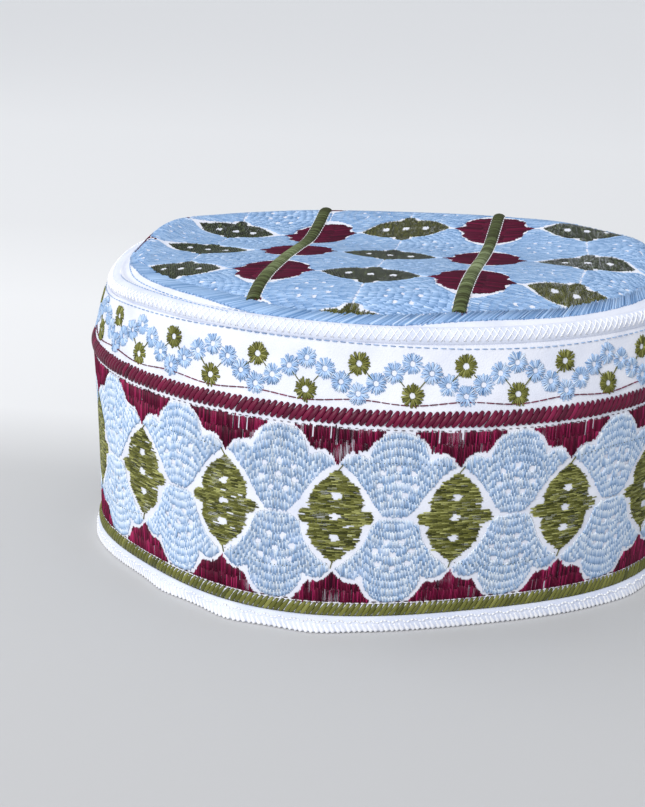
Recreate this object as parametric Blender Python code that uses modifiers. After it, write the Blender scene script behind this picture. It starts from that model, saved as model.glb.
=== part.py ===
"""Embroidered oval prayer cap: a stiff two-band side wall, a rolled seam and a flat crown.

Metres, +Z up. X runs along the long way of the oval, and -Y is the side that faces the viewer.
The origin is under the middle of the cap, on the surface that it stands on.
"""

import math

import bmesh
import bpy
import numpy as np
from mathutils import Vector
from mathutils.bvhtree import BVHTree

MM = 0.001

# The wall's outer face, as ovals at the heights where the cap changes.
# Columns: height, half length, half width, turn of the oval in degrees, shift in x, shift in y, wave.
# The hem's oval is turned against the crown's, because the cap is soft and stands as it was put down.
WALL_OVALS = (
    (0.0, 98.4, 84.0, 19.0, 3.6, 0.8, 2.6),
    (6.9, 98.4, 84.0, 19.0, 3.6, 0.8, 2.1),
    (68.2, 100.0, 84.0, -1.5, 0.2, 0.0, 0.0),
    (88.7, 97.4, 80.2, 4.0, 3.0, 1.4, 0.0),
    (96.0, 95.5, 78.6, 3.0, 3.0, 1.2, 0.0),
)
# The hem's cloth waves in and out on its way round, and less so behind.
# Waves in one round, direction of one crest in degrees, share of the wave that is left at the back.
HEM_WAVES = (5, 262.0, 0.35)
# The back left corner of the crown is fuller. Direction in degrees, spread, bulge.
FULL_CORNER = (146.0, 25.0, 3.0)
BAND_BELLY = 0.9

SEGMENTS_ROUND = 72
CLOTH = 2.0
GAP = 0.3

# Folded hem: a strip wrapped round the lower edge of the band.
HEM_LEAF = 1.0
HEM_OUTER_HEIGHT = 4.7
HEM_INNER_HEIGHT = 9.0
HEM_FOLD = 1.3
HEM_INNER_GAP = 0.5

# Heights of the lower band's rows of faces between its two edges. The second one backs the green rope.
LOWER_BAND_ROWS = (6.9, 15.0, 34.0, 52.0)
UPPER_BAND_TOP = 88.5

# Rope stitches. The green one lies on the band over the hem, the maroon one joins the two bands.
GREEN_ROPE_HEIGHT = 6.9
GREEN_ROPE_TALL = 3.9
GREEN_ROPE_THICK = 1.4
GREEN_ROPE_LIFT = 0.4
MAROON_ROPE_HEIGHT = 68.2
MAROON_ROPE_TALL = 4.5
MAROON_ROPE_PROUD = 0.9
MAROON_ROPE_THICK = 2.4

# Rolled seam round the crown. Its centre line is an oval, in the columns of WALL_OVALS.
ROLL_OVAL = (91.6, 94.6, 77.4, 3.6, 3.5, 1.1, 0.0)
ROLL_RADIUS = 2.8

# Crown: an oval sheet whose edge sits inside the roll.
CROWN_THICK = 1.6
CROWN_EDGE_HEIGHT = 93.2
# Height of the crown away from its edge: a shallow dish whose rim stands up round the back.
# The first row holds the x of each column, and each row after it starts with its y.
CROWN_DISH = (
    (0.0, -85.0, -64.0, -32.0, 0.0, 33.0, 64.0, 85.0),
    (-70.0, 95.0, 96.2, 98.3, 98.8, 99.2, 94.5, 93.5),
    (-48.0, 95.5, 96.4, 98.2, 99.0, 100.0, 96.2, 94.0),
    (-33.0, 95.8, 96.5, 98.1, 99.2, 100.3, 98.2, 96.0),
    (-10.0, 96.0, 95.8, 97.4, 98.1, 99.1, 100.0, 100.0),
    (8.0, 99.0, 95.4, 96.5, 96.8, 97.7, 99.4, 103.5),
    (36.0, 102.5, 98.6, 95.6, 96.2, 97.6, 101.0, 104.5),
    (49.0, 103.5, 101.0, 97.6, 98.2, 99.4, 102.6, 104.5),
    (60.0, 104.0, 102.5, 100.2, 99.8, 100.9, 103.6, 104.0),
    (72.0, 104.0, 103.0, 101.0, 100.6, 101.8, 103.6, 103.0),
)
# How the sheet climbs from its edge. Columns: distance in from the edge, share of the full climb.
CROWN_SHOULDER = ((0.0, 0.0), (2.0, 0.22), (5.0, 0.45), (10.0, 0.74), (16.0, 0.91), (26.0, 1.0))
# Behind this y the edge climbs this many times faster than in front.
BACK_STARTS = 38.0
BACK_STEEPNESS = 3.0
# Rings of the crown sheet, as shares of its radius.
CROWN_RINGS = (0.0, 0.22, 0.42, 0.56, 0.68, 0.77, 0.85, 0.92, 0.97, 1.0)

# Padded satin ribs over the crown, front to back.
# Each line in plan is a row of (y, x) pairs, and the left one turns in a little at the front.
LEFT_RIB_LINE = ((-64.0, -30.4), (-52.0, -31.1), (-36.0, -31.9), (-10.0, -32.4), (70.0, -32.4))
RIGHT_RIB_LINE = ((-64.0, 32.6), (70.0, 32.8))
RIB_WIDTH = 4.2
RIB_HEIGHT = 1.5
RIB_STATIONS = 40
RIB_END_INSET = 5.9
RIB_LIFT = 0.45


def clear_scene():
    for obj in list(bpy.data.objects):
        bpy.data.objects.remove(obj)


def oval_points(oval, shares):
    """Points of one oval at equal shares of its length, counted from the +X side towards +Y."""
    height, half_length, half_width, turn, shift_x, shift_y, wave = oval
    angle = np.linspace(-math.pi, 2.0 * math.pi, 2161)
    direction, spread, bulge = FULL_CORNER
    away = np.mod(np.degrees(angle) - direction + 180.0, 360.0) - 180.0
    waves, crest, left_behind = HEM_WAVES
    round_from_crest = angle + math.radians(turn - crest)
    calmer = 0.5 * (1.0 + left_behind) + 0.5 * (1.0 - left_behind) * np.cos(round_from_crest)
    fuller = np.exp(-((away / spread) ** 2)) * np.interp(height, (50.0, 90.0), (0.0, bulge))
    fuller += wave * calmer * np.cos(waves * round_from_crest)
    fuller = 1.0 + fuller / half_width
    along = fuller * half_length * np.cos(angle)
    across = fuller * half_width * np.sin(angle)
    turned = math.radians(turn)
    x = along * math.cos(turned) - across * math.sin(turned) + shift_x
    y = along * math.sin(turned) + across * math.cos(turned) + shift_y
    travelled = np.concatenate([[0.0], np.cumsum(np.hypot(np.diff(x), np.diff(y)))])
    whole = travelled[1440] - travelled[0]
    start = np.interp(0.0, y[600:960], travelled[600:960])
    wanted = start + np.mod(shares, 1.0) * whole
    wanted = np.where(wanted > travelled[-1], wanted - whole, wanted)
    return np.stack([np.interp(wanted, travelled, x), np.interp(wanted, travelled, y)], axis=-1)


def squarely_out(before, here, after, distance):
    """Moves plan points out, square to the line through their neighbours."""
    along = after - before
    along /= np.linalg.norm(along, axis=-1, keepdims=True)
    outward = np.stack([along[..., 1], -along[..., 0]], axis=-1)
    return here + outward * np.asarray(distance)[..., None]


def wall_point(share, height, out=0.0):
    """Position in mm on the wall's outer face, moved out by a distance square to the face's plan."""
    share = np.asarray(share, float)
    height = np.asarray(height, float) + 0.0 * share
    levels = np.array([row[0] for row in WALL_OVALS])
    place = np.clip(np.searchsorted(levels, height, side="right") - 1, 0, len(levels) - 2)
    blend = ((height - levels[place]) / (levels[place + 1] - levels[place]))[..., None]
    index = np.arange(share.size).reshape(share.shape)
    step = 0.25 / SEGMENTS_ROUND
    plans = []
    for nudge in (-step, 0.0, step):
        rings = np.stack([oval_points(row, share + nudge).reshape(-1, 2) for row in WALL_OVALS])
        plans.append(rings[place, index] * (1.0 - blend) + rings[place + 1, index] * blend)
    climb = np.clip((height - GREEN_ROPE_HEIGHT) / (MAROON_ROPE_HEIGHT - GREEN_ROPE_HEIGHT), 0.0, 1.0)
    plan = squarely_out(*plans, out + BAND_BELLY * np.sin(math.pi * climb))
    return np.concatenate([plan, height[..., None]], axis=-1)


def roll_plan(share, out=0.0):
    """Plan position on the centre line of the rolled seam, moved out by a distance."""
    step = 0.25 / SEGMENTS_ROUND
    plans = [oval_points(ROLL_OVAL, share + nudge) for nudge in (-step, 0.0, step)]
    return squarely_out(*plans, np.full(np.shape(share), out))


def crown_plan(share, radius_share):
    """Plan position on the crown for a share round and a share of the radius."""
    return roll_plan(share, -(ROLL_RADIUS + GAP)) * np.asarray(radius_share)[..., None]


def smooth_table(places, values, wanted):
    """Smooth curve through a table: values may hold several columns, one row for each place."""
    places = np.asarray(places, float)
    values = np.asarray(values, float)
    wanted = np.clip(wanted, places[0], places[-1])
    slopes = np.gradient(values, places, axis=0)
    row = np.clip(np.searchsorted(places, wanted, side="right") - 1, 0, len(places) - 2)
    width = places[row + 1] - places[row]
    part = (wanted - places[row]) / width
    if values.ndim > 1:
        part = part[:, None]
        width = width[:, None]
    rise = part * part * (3.0 - 2.0 * part)
    leave = slopes[row] * part * (1.0 - part) ** 2 * width
    arrive = slopes[row + 1] * part * part * (part - 1.0) * width
    return values[row] * (1.0 - rise) + values[row + 1] * rise + leave + arrive


def crown_height(x, y, edge_distance):
    """Top face of the crown, from its dish and the climb at its edge."""
    table = np.array(CROWN_DISH)
    rows = smooth_table(table[1:, 0], table[1:, 1:], y)
    columns = table[0, 1:]
    full = np.array([smooth_table(columns, row, np.array([place]))[0] for row, place in zip(rows, x)])
    shoulder = np.array(CROWN_SHOULDER)
    behind = np.clip(y / BACK_STARTS, 0.0, 1.0)
    faster = 1.0 + (BACK_STEEPNESS - 1.0) * behind * behind * (3.0 - 2.0 * behind)
    climb = np.interp(edge_distance * faster, shoulder[:, 0], shoulder[:, 1])
    return CROWN_EDGE_HEIGHT + climb * (full - CROWN_EDGE_HEIGHT)


def material(name, colour, roughness):
    made = bpy.data.materials.new(name)
    made.use_nodes = True
    shader = made.node_tree.nodes["Principled BSDF"]
    shader.inputs["Base Color"].default_value = (*colour, 1.0)
    shader.inputs["Roughness"].default_value = roughness
    return made


def place(name, data, collection, cloth):
    obj = bpy.data.objects.new(name, data)
    collection.objects.link(obj)
    data.materials.append(cloth)
    return obj


def mapped_grid(columns, rows, position, wrap_rows=False):
    """A grid that a function bends into place: column 0 meets the last column, and rows may meet too."""
    bm = bmesh.new()
    bmesh.ops.create_grid(bm, x_segments=columns, y_segments=rows, size=1.0)
    bm.verts.ensure_lookup_table()
    cells = np.array([vert.co[:2] for vert in bm.verts])
    share = np.round((cells[:, 0] + 1.0) / 2.0 * columns) / columns
    row = np.round((cells[:, 1] + 1.0) / 2.0 * rows).astype(int)
    if wrap_rows:
        row = row % rows
    for vert, point in zip(bm.verts, position(np.mod(share, 1.0), row) * MM):
        vert.co = Vector(point)
    bmesh.ops.remove_doubles(bm, verts=bm.verts[:], dist=1e-6)
    for face in bm.faces:
        face.smooth = True
    return bm


def finish_mesh(bm, name):
    bmesh.ops.recalc_face_normals(bm, faces=bm.faces[:])
    data = bpy.data.meshes.new(name)
    bm.to_mesh(data)
    bm.free()
    return data


def thicken(obj, thickness):
    """Gives a sheet its cloth thickness on the side away from its normals."""
    solid = obj.modifiers.new("cloth thickness", "SOLIDIFY")
    solid.thickness = thickness * MM
    solid.offset = -1.0
    solid.use_even_offset = True


def wall_sheet(name, heights, collection, cloth):
    """A band of cloth whose outer face is the wall between the given heights."""
    levels = np.array(heights)
    bm = mapped_grid(SEGMENTS_ROUND, len(levels) - 1, lambda share, row: wall_point(share, levels[row]))
    data = finish_mesh(bm, name)
    obj = place(name, data, collection, cloth)
    thicken(obj, CLOTH)
    return obj


def folded_hem(name, collection, cloth):
    """The binding: one strip that goes up outside the band, under its edge and up inside it."""
    outer = GAP
    inner = -(CLOTH + HEM_INNER_GAP)
    section = np.array(
        (
            (outer, HEM_OUTER_HEIGHT),
            (outer + HEM_LEAF * 0.7, HEM_OUTER_HEIGHT),
            (outer + HEM_LEAF, HEM_OUTER_HEIGHT - 0.6),
            (outer + HEM_LEAF, 0.9),
            (outer + HEM_LEAF * 0.3, 0.0),
            (inner - HEM_LEAF * 0.3, 0.0),
            (inner - HEM_LEAF, 0.9),
            (inner - HEM_LEAF, HEM_INNER_HEIGHT),
            (inner, HEM_INNER_HEIGHT),
            (inner, HEM_FOLD),
            (outer, HEM_FOLD),
        )
    )
    bm = mapped_grid(
        SEGMENTS_ROUND,
        len(section),
        lambda share, row: wall_point(share, section[row, 1], section[row, 0]),
        wrap_rows=True,
    )
    return place(name, finish_mesh(bm, name), collection, cloth)


def profile(name, points, helpers):
    """A closed outline in the plane, used as the section of a cord."""
    data = bpy.data.curves.new(name, "CURVE")
    data.dimensions = "2D"
    spline = data.splines.new("POLY")
    spline.points.add(len(points) - 1)
    for target, point in zip(spline.points, points[::-1]):
        target.co = (point[0] * MM, point[1] * MM, 0.0, 1.0)
    spline.use_cyclic_u = True
    obj = bpy.data.objects.new(name, data)
    obj.hide_render = True
    helpers.objects.link(obj)
    return obj


def oval_section(name, thick, tall, sides, helpers):
    angle = np.linspace(0.0, 2.0 * math.pi, sides, endpoint=False) + math.pi / sides
    points = np.stack([0.5 * thick * np.cos(angle), 0.5 * tall * np.sin(angle)], axis=-1)
    return profile(name, points, helpers)


def cord(name, path, section, cyclic, widths, collection, cloth):
    """A cord swept along a path, with its section kept upright."""
    data = bpy.data.curves.new(name, "CURVE")
    data.dimensions = "3D"
    data.twist_mode = "Z_UP"
    data.bevel_mode = "OBJECT"
    data.bevel_object = section
    data.use_fill_caps = not cyclic
    spline = data.splines.new("POLY")
    spline.points.add(len(path) - 1)
    for target, point, width in zip(spline.points, path, widths):
        target.co = (*(point * MM), 1.0)
        target.radius = width
    spline.use_cyclic_u = cyclic
    return place(name, data, collection, cloth)


def ring_cord(name, path, section, collection, cloth):
    return cord(name, path, section, True, np.ones(len(path)), collection, cloth)


def crown_sheet(name, collection, cloth):
    rings = np.array(CROWN_RINGS)

    def position(share, row):
        plan = crown_plan(share, rings[row])
        reach = np.linalg.norm(crown_plan(share, np.ones(len(share))), axis=-1)
        height = crown_height(plan[:, 0], plan[:, 1], reach * (1.0 - rings[row]))
        return np.concatenate([plan, height[:, None]], axis=-1)

    bm = mapped_grid(SEGMENTS_ROUND, len(rings) - 1, position)
    obj = place(name, finish_mesh(bm, name), collection, cloth)
    thicken(obj, CROWN_THICK)
    return obj


def crown_rib(name, line, surface, section, collection, cloth):
    """A padded rib that lies on the crown from its front edge to its back edge."""
    place_y, place_x = np.array(line).T
    shares = np.linspace(0.0, 1.0, 721)
    edge = crown_plan(shares, np.ones(721))
    near = np.abs(edge[:, 0] - place_x.mean()) < 1.0
    front = edge[near & (edge[:, 1] < 0.0), 1].mean() + RIB_END_INSET
    back = edge[near & (edge[:, 1] > 0.0), 1].mean() - RIB_END_INSET
    path = []
    for y in np.linspace(front, back, RIB_STATIONS):
        x = np.interp(y, place_y, place_x)
        heights = []
        for side in (-0.5, 0.0, 0.5):
            above = Vector((x + side * RIB_WIDTH, y, 200.0)) * MM
            heights.append(surface.ray_cast(above, Vector((0.0, 0.0, -1.0)))[0].z / MM)
        path.append((x, y, max(heights) + RIB_LIFT))
    widths = np.ones(RIB_STATIONS)
    widths[0] = 0.7
    widths[-1] = 0.7
    return cord(name, np.array(path), section, False, widths, collection, cloth)


def build():
    clear_scene()
    cap = bpy.data.collections.new("prayer_cap")
    helpers = bpy.data.collections.new("sections")
    helpers.hide_render = True
    bpy.context.scene.collection.children.link(cap)
    bpy.context.scene.collection.children.link(helpers)

    white = (0.86, 0.87, 0.93)
    blue = (0.27, 0.46, 0.74)
    olive = (0.15, 0.17, 0.03)
    maroon = (0.15, 0.008, 0.04)

    under_rope = MAROON_ROPE_HEIGHT - 0.5 * MAROON_ROPE_TALL - GAP
    over_rope = MAROON_ROPE_HEIGHT + 0.5 * MAROON_ROPE_TALL + GAP
    lower_rows = (HEM_FOLD + GAP, *LOWER_BAND_ROWS, under_rope)
    upper_rows = np.linspace(over_rope, UPPER_BAND_TOP, 4)
    folded_hem("hem", cap, material("hem", white, 0.9))
    wall_sheet("lower_band", lower_rows, cap, material("lower_band", blue, 0.8))
    wall_sheet("upper_band", upper_rows, cap, material("upper_band", white, 0.85))
    green = oval_section("green_rope_section", GREEN_ROPE_THICK, GREEN_ROPE_TALL, 8, helpers)
    red = oval_section("maroon_rope_section", MAROON_ROPE_THICK, MAROON_ROPE_TALL, 8, helpers)
    roll = oval_section("seam_roll_section", 2.0 * ROLL_RADIUS, 2.0 * ROLL_RADIUS, 10, helpers)
    shares = np.arange(SEGMENTS_ROUND) / SEGMENTS_ROUND
    green_line = wall_point(shares, GREEN_ROPE_HEIGHT, 0.5 * GREEN_ROPE_THICK + GREEN_ROPE_LIFT)
    maroon_line = wall_point(shares, MAROON_ROPE_HEIGHT, MAROON_ROPE_PROUD - 0.5 * MAROON_ROPE_THICK)
    roll_line = np.insert(roll_plan(shares), 2, ROLL_OVAL[0], axis=1)
    ring_cord("green_rope", green_line, green, cap, material("green_rope", olive, 0.6))
    ring_cord("maroon_rope", maroon_line, red, cap, material("maroon_rope", maroon, 0.6))
    ring_cord("seam_roll", roll_line, roll, cap, material("seam_roll", white, 0.9))
    panel = crown_sheet("crown_panel", cap, material("crown_panel", blue, 0.8))
    surface = BVHTree.FromPolygons(
        [vert.co.copy() for vert in panel.data.vertices], [face.vertices[:] for face in panel.data.polygons]
    )
    angle = np.linspace(0.0, math.pi, 6)
    dome = np.stack([0.5 * RIB_WIDTH * np.cos(angle), RIB_HEIGHT * np.sin(angle)], axis=-1)
    rib = profile("rib_section", dome, helpers)
    crown_rib("crown_rib_left", LEFT_RIB_LINE, surface, rib, cap, material("crown_rib_left", olive, 0.6))
    crown_rib("crown_rib_right", RIGHT_RIB_LINE, surface, rib, cap, material("crown_rib_right", olive, 0.6))


build()
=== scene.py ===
# %% [markdown]
# # An embroidered oval prayer cap
# This lesson dresses the plain solid model of a cap in its cloth, cords and thread. The real cap is
# quilted white cotton. Its side wall has a tall lower band and a short upper band, a padded seam joins
# the wall to a dished crown, and nearly all of it is covered with hand embroidery.
# The thread is made as real geometry here, because slanted light on raised stitches is what such a cap
# looks like. Each stitch is a small closed grain of thread, and the stitches are joined into one mesh
# for each colour of each part.

import math

import bmesh
import bpy
import numpy as np
from mathutils import Matrix, Vector


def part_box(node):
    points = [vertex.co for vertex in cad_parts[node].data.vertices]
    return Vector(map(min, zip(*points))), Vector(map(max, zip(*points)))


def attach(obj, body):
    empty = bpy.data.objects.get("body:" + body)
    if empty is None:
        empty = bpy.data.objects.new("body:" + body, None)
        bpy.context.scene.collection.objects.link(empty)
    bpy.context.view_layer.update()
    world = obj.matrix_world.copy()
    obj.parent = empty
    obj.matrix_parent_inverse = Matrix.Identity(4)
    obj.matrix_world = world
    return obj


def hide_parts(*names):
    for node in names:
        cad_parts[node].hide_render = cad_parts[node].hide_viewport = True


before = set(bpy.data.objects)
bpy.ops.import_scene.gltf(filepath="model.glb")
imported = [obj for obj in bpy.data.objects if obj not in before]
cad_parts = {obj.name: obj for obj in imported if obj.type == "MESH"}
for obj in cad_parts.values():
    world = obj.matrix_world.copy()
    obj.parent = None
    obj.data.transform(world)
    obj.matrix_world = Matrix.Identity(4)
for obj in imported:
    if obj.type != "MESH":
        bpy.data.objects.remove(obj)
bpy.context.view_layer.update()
MM = 0.001
chance = np.random.default_rng(7)

# %% [markdown]
# ## The camera
# The cap is seen from a little above and slightly from the left. A long lens keeps its ovals calm.
# The camera is placed first, by its own three directions, so that every later step can be compared
# with the photograph.

# %% Camera
CAMERA_PLACE = (0.07922, -0.51681, 0.2138)
LOOKING_DOWN = 0.312
LOOKING_LEFT = -0.19
CAMERA_ROLL = 0.022
LENS_MM = 70.222


def turned(x, y, z):
    """A direction given square to the view, turned about Z into the cap's own directions."""
    cosine, sine = math.cos(LOOKING_LEFT), math.sin(LOOKING_LEFT)
    return Vector((cosine * x + sine * y, cosine * y - sine * x, z))


level_right = turned(1.0, 0.0, 0.0)
forward = turned(0.0, math.cos(LOOKING_DOWN), -math.sin(LOOKING_DOWN))
level_up = turned(0.0, math.sin(LOOKING_DOWN), math.cos(LOOKING_DOWN))
right = level_right * math.cos(CAMERA_ROLL) + level_up * math.sin(CAMERA_ROLL)
up = level_up * math.cos(CAMERA_ROLL) - level_right * math.sin(CAMERA_ROLL)
camera_data = bpy.data.cameras.new("camera")
camera_data.sensor_fit = "VERTICAL"
camera_data.sensor_height = 36.0
camera_data.lens = LENS_MM
camera_data.clip_start = 0.01
camera = bpy.data.objects.new("camera", camera_data)
bpy.context.scene.collection.objects.link(camera)
directions = Matrix((right, up, -forward)).transposed()
camera.matrix_world = Matrix.Translation(CAMERA_PLACE) @ directions.to_4x4()
bpy.context.scene.camera = camera
print("camera at", [round(v, 3) for v in camera.matrix_world.translation])

# %% [markdown]
# ## The shape of the wall
# The wall is not a cylinder: the hem's oval is turned against the crown's, because the cap is soft.
# A short table of ovals gives the outer face at the heights where it changes, and one function blends
# between them. It takes a share of the way round, a height and a distance out of the cloth, so a
# stitch can be drawn flat and then laid on the wall. These are the same sizes as in the solid model.

# %% The wall's ovals
# Columns: height, half length, half width, turn of the oval in degrees, shift in x, shift in y, wave.
WALL_OVALS = (
    (0.0, 98.4, 84.0, 19.0, 3.6, 0.8, 2.6),
    (6.9, 98.4, 84.0, 19.0, 3.6, 0.8, 2.1),
    (68.2, 100.0, 84.0, -1.5, 0.2, 0.0, 0.0),
    (88.7, 97.4, 80.2, 4.0, 3.0, 1.4, 0.0),
    (96.0, 95.5, 78.6, 3.0, 3.0, 1.2, 0.0),
)
# Waves in one round, direction of one crest in degrees, share of the wave that is left at the back.
HEM_WAVES = (5, 262.0, 0.35)
# The back left corner of the crown is fuller. Direction in degrees, spread, bulge.
FULL_CORNER = (146.0, 25.0, 3.0)
BAND_BELLY = 0.9
CLOTH = 2.0
GREEN_ROPE_HEIGHT = 6.9
MAROON_ROPE_HEIGHT = 68.2
NUDGE = 0.25 / 72
# Each oval is measured in this many steps, over one and a half rounds so that it can start anywhere.
STEPS_ROUND = 1440


def oval_table(oval):
    """Places along one oval, as distance travelled and x and y, starting where it crosses +X."""
    height, half_length, half_width, turn, shift_x, shift_y, wave = oval
    angle = np.linspace(-math.pi, 2.0 * math.pi, STEPS_ROUND * 3 // 2 + 1)
    direction, spread, bulge = FULL_CORNER
    away = np.mod(np.degrees(angle) - direction + 180.0, 360.0) - 180.0
    waves, crest, left_behind = HEM_WAVES
    round_from_crest = angle + math.radians(turn - crest)
    calmer = 0.5 * (1.0 + left_behind) + 0.5 * (1.0 - left_behind) * np.cos(round_from_crest)
    fuller = np.exp(-((away / spread) ** 2)) * np.interp(height, (50.0, 90.0), (0.0, bulge))
    fuller += wave * calmer * np.cos(waves * round_from_crest)
    fuller = 1.0 + fuller / half_width
    along = fuller * half_length * np.cos(angle)
    across = fuller * half_width * np.sin(angle)
    turned_by = math.radians(turn)
    x = along * math.cos(turned_by) - across * math.sin(turned_by) + shift_x
    y = along * math.sin(turned_by) + across * math.cos(turned_by) + shift_y
    travelled = np.concatenate([[0.0], np.cumsum(np.hypot(np.diff(x), np.diff(y)))])
    whole = travelled[STEPS_ROUND] - travelled[0]
    near_x_axis = slice(STEPS_ROUND * 5 // 12, STEPS_ROUND * 2 // 3)
    start = np.interp(0.0, y[near_x_axis], travelled[near_x_axis])
    share = (travelled - start) / whole
    return share, x, y


def oval_place(table, share):
    share_at, x, y = table
    wanted = np.mod(share, 1.0)
    wanted = np.where(wanted > share_at[-1], wanted - 1.0, wanted)
    return np.stack([np.interp(wanted, share_at, x), np.interp(wanted, share_at, y)], axis=-1)


WALL_TABLES = [oval_table(row) for row in WALL_OVALS]
WALL_LEVELS = np.array([row[0] for row in WALL_OVALS])


def squarely_out(before, here, after, distance):
    along = after - before
    along /= np.linalg.norm(along, axis=-1, keepdims=True)
    outward = np.stack([along[..., 1], -along[..., 0]], axis=-1)
    return here + outward * np.asarray(distance)[..., None]


# The soft edge sags a little at the left end. Share of the way round, half breadth, depth in mm.
SAG_PLACE, SAG_BREADTH, SAG_DEPTH = 0.54, 0.055, 2.7
SAG_STARTS, SAG_FULL = 80.0, 89.5
# The wall is flatter there. Share of the way round, half breadth, depth in mm.
FLAT_PLACE, FLAT_BREADTH, FLAT_DEPTH = 0.515, 0.05, 2.2


def hump(share, place, breadth):
    """A smooth rise from 0 to 1 and back round one place on the way round the cap."""
    away = np.mod(share - place + 0.5, 1.0) - 0.5
    return np.exp(-((away / breadth) ** 2))


def sag(share):
    return SAG_DEPTH * hump(share, SAG_PLACE, SAG_BREADTH)


def wall_point(share, height, out=0.0):
    """Position in mm on the wall's outer face, moved out by a distance square to the face."""
    share, height, out = np.broadcast_arrays(
        np.asarray(share, float), np.asarray(height, float), np.asarray(out, float)
    )
    place = np.clip(np.searchsorted(WALL_LEVELS, height, side="right") - 1, 0, len(WALL_LEVELS) - 2)
    blend = ((height - WALL_LEVELS[place]) / (WALL_LEVELS[place + 1] - WALL_LEVELS[place]))[..., None]
    plans = []
    for nudge in (-NUDGE, 0.0, NUDGE):
        plan = np.zeros(share.shape + (2,))
        for level in range(len(WALL_LEVELS) - 1):
            here = place == level
            low = oval_place(WALL_TABLES[level], share[here] + nudge)
            high = oval_place(WALL_TABLES[level + 1], share[here] + nudge)
            plan[here] = low * (1.0 - blend[here]) + high * blend[here]
        plans.append(plan)
    climb = np.clip((height - GREEN_ROPE_HEIGHT) / (MAROON_ROPE_HEIGHT - GREEN_ROPE_HEIGHT), 0.0, 1.0)
    belly = BAND_BELLY - FLAT_DEPTH * hump(share, FLAT_PLACE, FLAT_BREADTH)
    sunk = sag(share) * np.clip((height - SAG_STARTS) / (SAG_FULL - SAG_STARTS), 0.0, 1.0) ** 2
    plan = squarely_out(*plans, out + belly * np.sin(math.pi * climb))
    return np.concatenate([plan, (height - sunk)[..., None]], axis=-1)


ROUND = np.linalg.norm(np.diff(wall_point(np.linspace(0, 1, 721), 40.0), axis=0), axis=1).sum()
print("outer length round the lower band, mm:", round(ROUND, 1))

# %% [markdown]
# ## The shape of the crown
# The crown is a sheet that starts inside the padded seam, climbs over a shoulder and then dips into a
# shallow dish, with its rim standing up round the back. The heights stand in a small table, as a
# maker would take them with a ruler, and smooth curves run through them both ways.

# %% The crown's heights
ROLL_OVAL = (91.6, 94.6, 77.4, 3.6, 3.5, 1.1, 0.0)
ROLL_RADIUS = 2.8
GAP = 0.3
CROWN_THICK = 1.6
CROWN_EDGE_HEIGHT = 93.2
# The first row holds the x of each column, and each row after it starts with its y.
CROWN_DISH = (
    (0.0, -85.0, -64.0, -32.0, 0.0, 33.0, 64.0, 85.0),
    (-70.0, 95.0, 96.2, 98.3, 98.8, 99.2, 94.5, 93.5),
    (-48.0, 95.5, 96.4, 98.2, 99.0, 100.0, 96.2, 94.0),
    (-33.0, 95.8, 96.5, 98.1, 99.2, 100.3, 98.2, 96.0),
    (-10.0, 96.0, 95.8, 97.4, 98.1, 99.1, 100.0, 100.0),
    (8.0, 99.0, 95.4, 96.5, 96.8, 97.7, 99.4, 103.5),
    (36.0, 102.5, 98.6, 95.6, 96.2, 97.6, 101.0, 104.5),
    (49.0, 103.5, 101.0, 97.6, 98.2, 99.4, 102.6, 104.5),
    (60.0, 104.0, 102.5, 100.2, 99.8, 100.9, 103.6, 104.0),
    (72.0, 104.0, 103.0, 101.0, 100.6, 101.8, 103.6, 103.0),
)
# How the sheet climbs from its edge. Columns: distance in from the edge, share of the full climb.
CROWN_SHOULDER = ((0.0, 0.0), (2.0, 0.22), (5.0, 0.45), (10.0, 0.74), (16.0, 0.91), (26.0, 1.0))
BACK_STARTS = 38.0
BACK_STEEPNESS = 3.0

# The padding stands up beside the seam at the left end. Share of the way round, half breadth, height,
# and how far in from the edge it is highest, which is its half breadth inwards too.
PUFF_PLACE, PUFF_BREADTH, PUFF_HEIGHT, PUFF_IN = 0.485, 0.055, 3.0, 5.0
# Outside its edge the sheet turns up a little: height for each mm, and how far out that goes on.
LIP_SLOPE, LIP_REACH = 0.55, 1.8
# The sag of the seam carries over to the crown: share of its depth, how far in it fades.
SAG_CARRIED, SAG_FADES = 0.7, 4.0

ROLL_TABLE = oval_table(ROLL_OVAL)


def roll_plan(share, out=0.0):
    """Plan position on the centre line of the padded seam, moved out by a distance."""
    share, out = np.broadcast_arrays(np.asarray(share, float), np.asarray(out, float))
    plans = [oval_place(ROLL_TABLE, share + nudge) for nudge in (-NUDGE, 0.0, NUDGE)]
    return squarely_out(*plans, out)


rim = roll_plan(np.linspace(0.0, 1.0, 1441), -(ROLL_RADIUS + GAP))
rim_angle = np.unwrap(np.arctan2(rim[:, 1], rim[:, 0]))
rim_reach = np.linalg.norm(rim, axis=1)


def reach_at(angle):
    """Distance from the middle to the crown's edge in a direction."""
    turns = np.mod(angle - rim_angle[0], 2.0 * math.pi) + rim_angle[0]
    return np.interp(turns, rim_angle, rim_reach)


def curve_through(places, values, wanted):
    """Smooth curve through a row of values for each point: values is points by places."""
    slopes = np.gradient(values, places, axis=1)
    wanted = np.clip(wanted, places[0], places[-1])
    row = np.clip(np.searchsorted(places, wanted, side="right") - 1, 0, len(places) - 2)
    width = places[row + 1] - places[row]
    part = (wanted - places[row]) / width
    rise = part * part * (3.0 - 2.0 * part)
    each = np.arange(len(row))
    leave = slopes[each, row] * part * (1.0 - part) ** 2 * width
    arrive = slopes[each, row + 1] * part * part * (part - 1.0) * width
    return values[each, row] * (1.0 - rise) + values[each, row + 1] * rise + leave + arrive


def edge_distance(x, y):
    return reach_at(np.arctan2(y, x)) - np.hypot(x, y)


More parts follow.
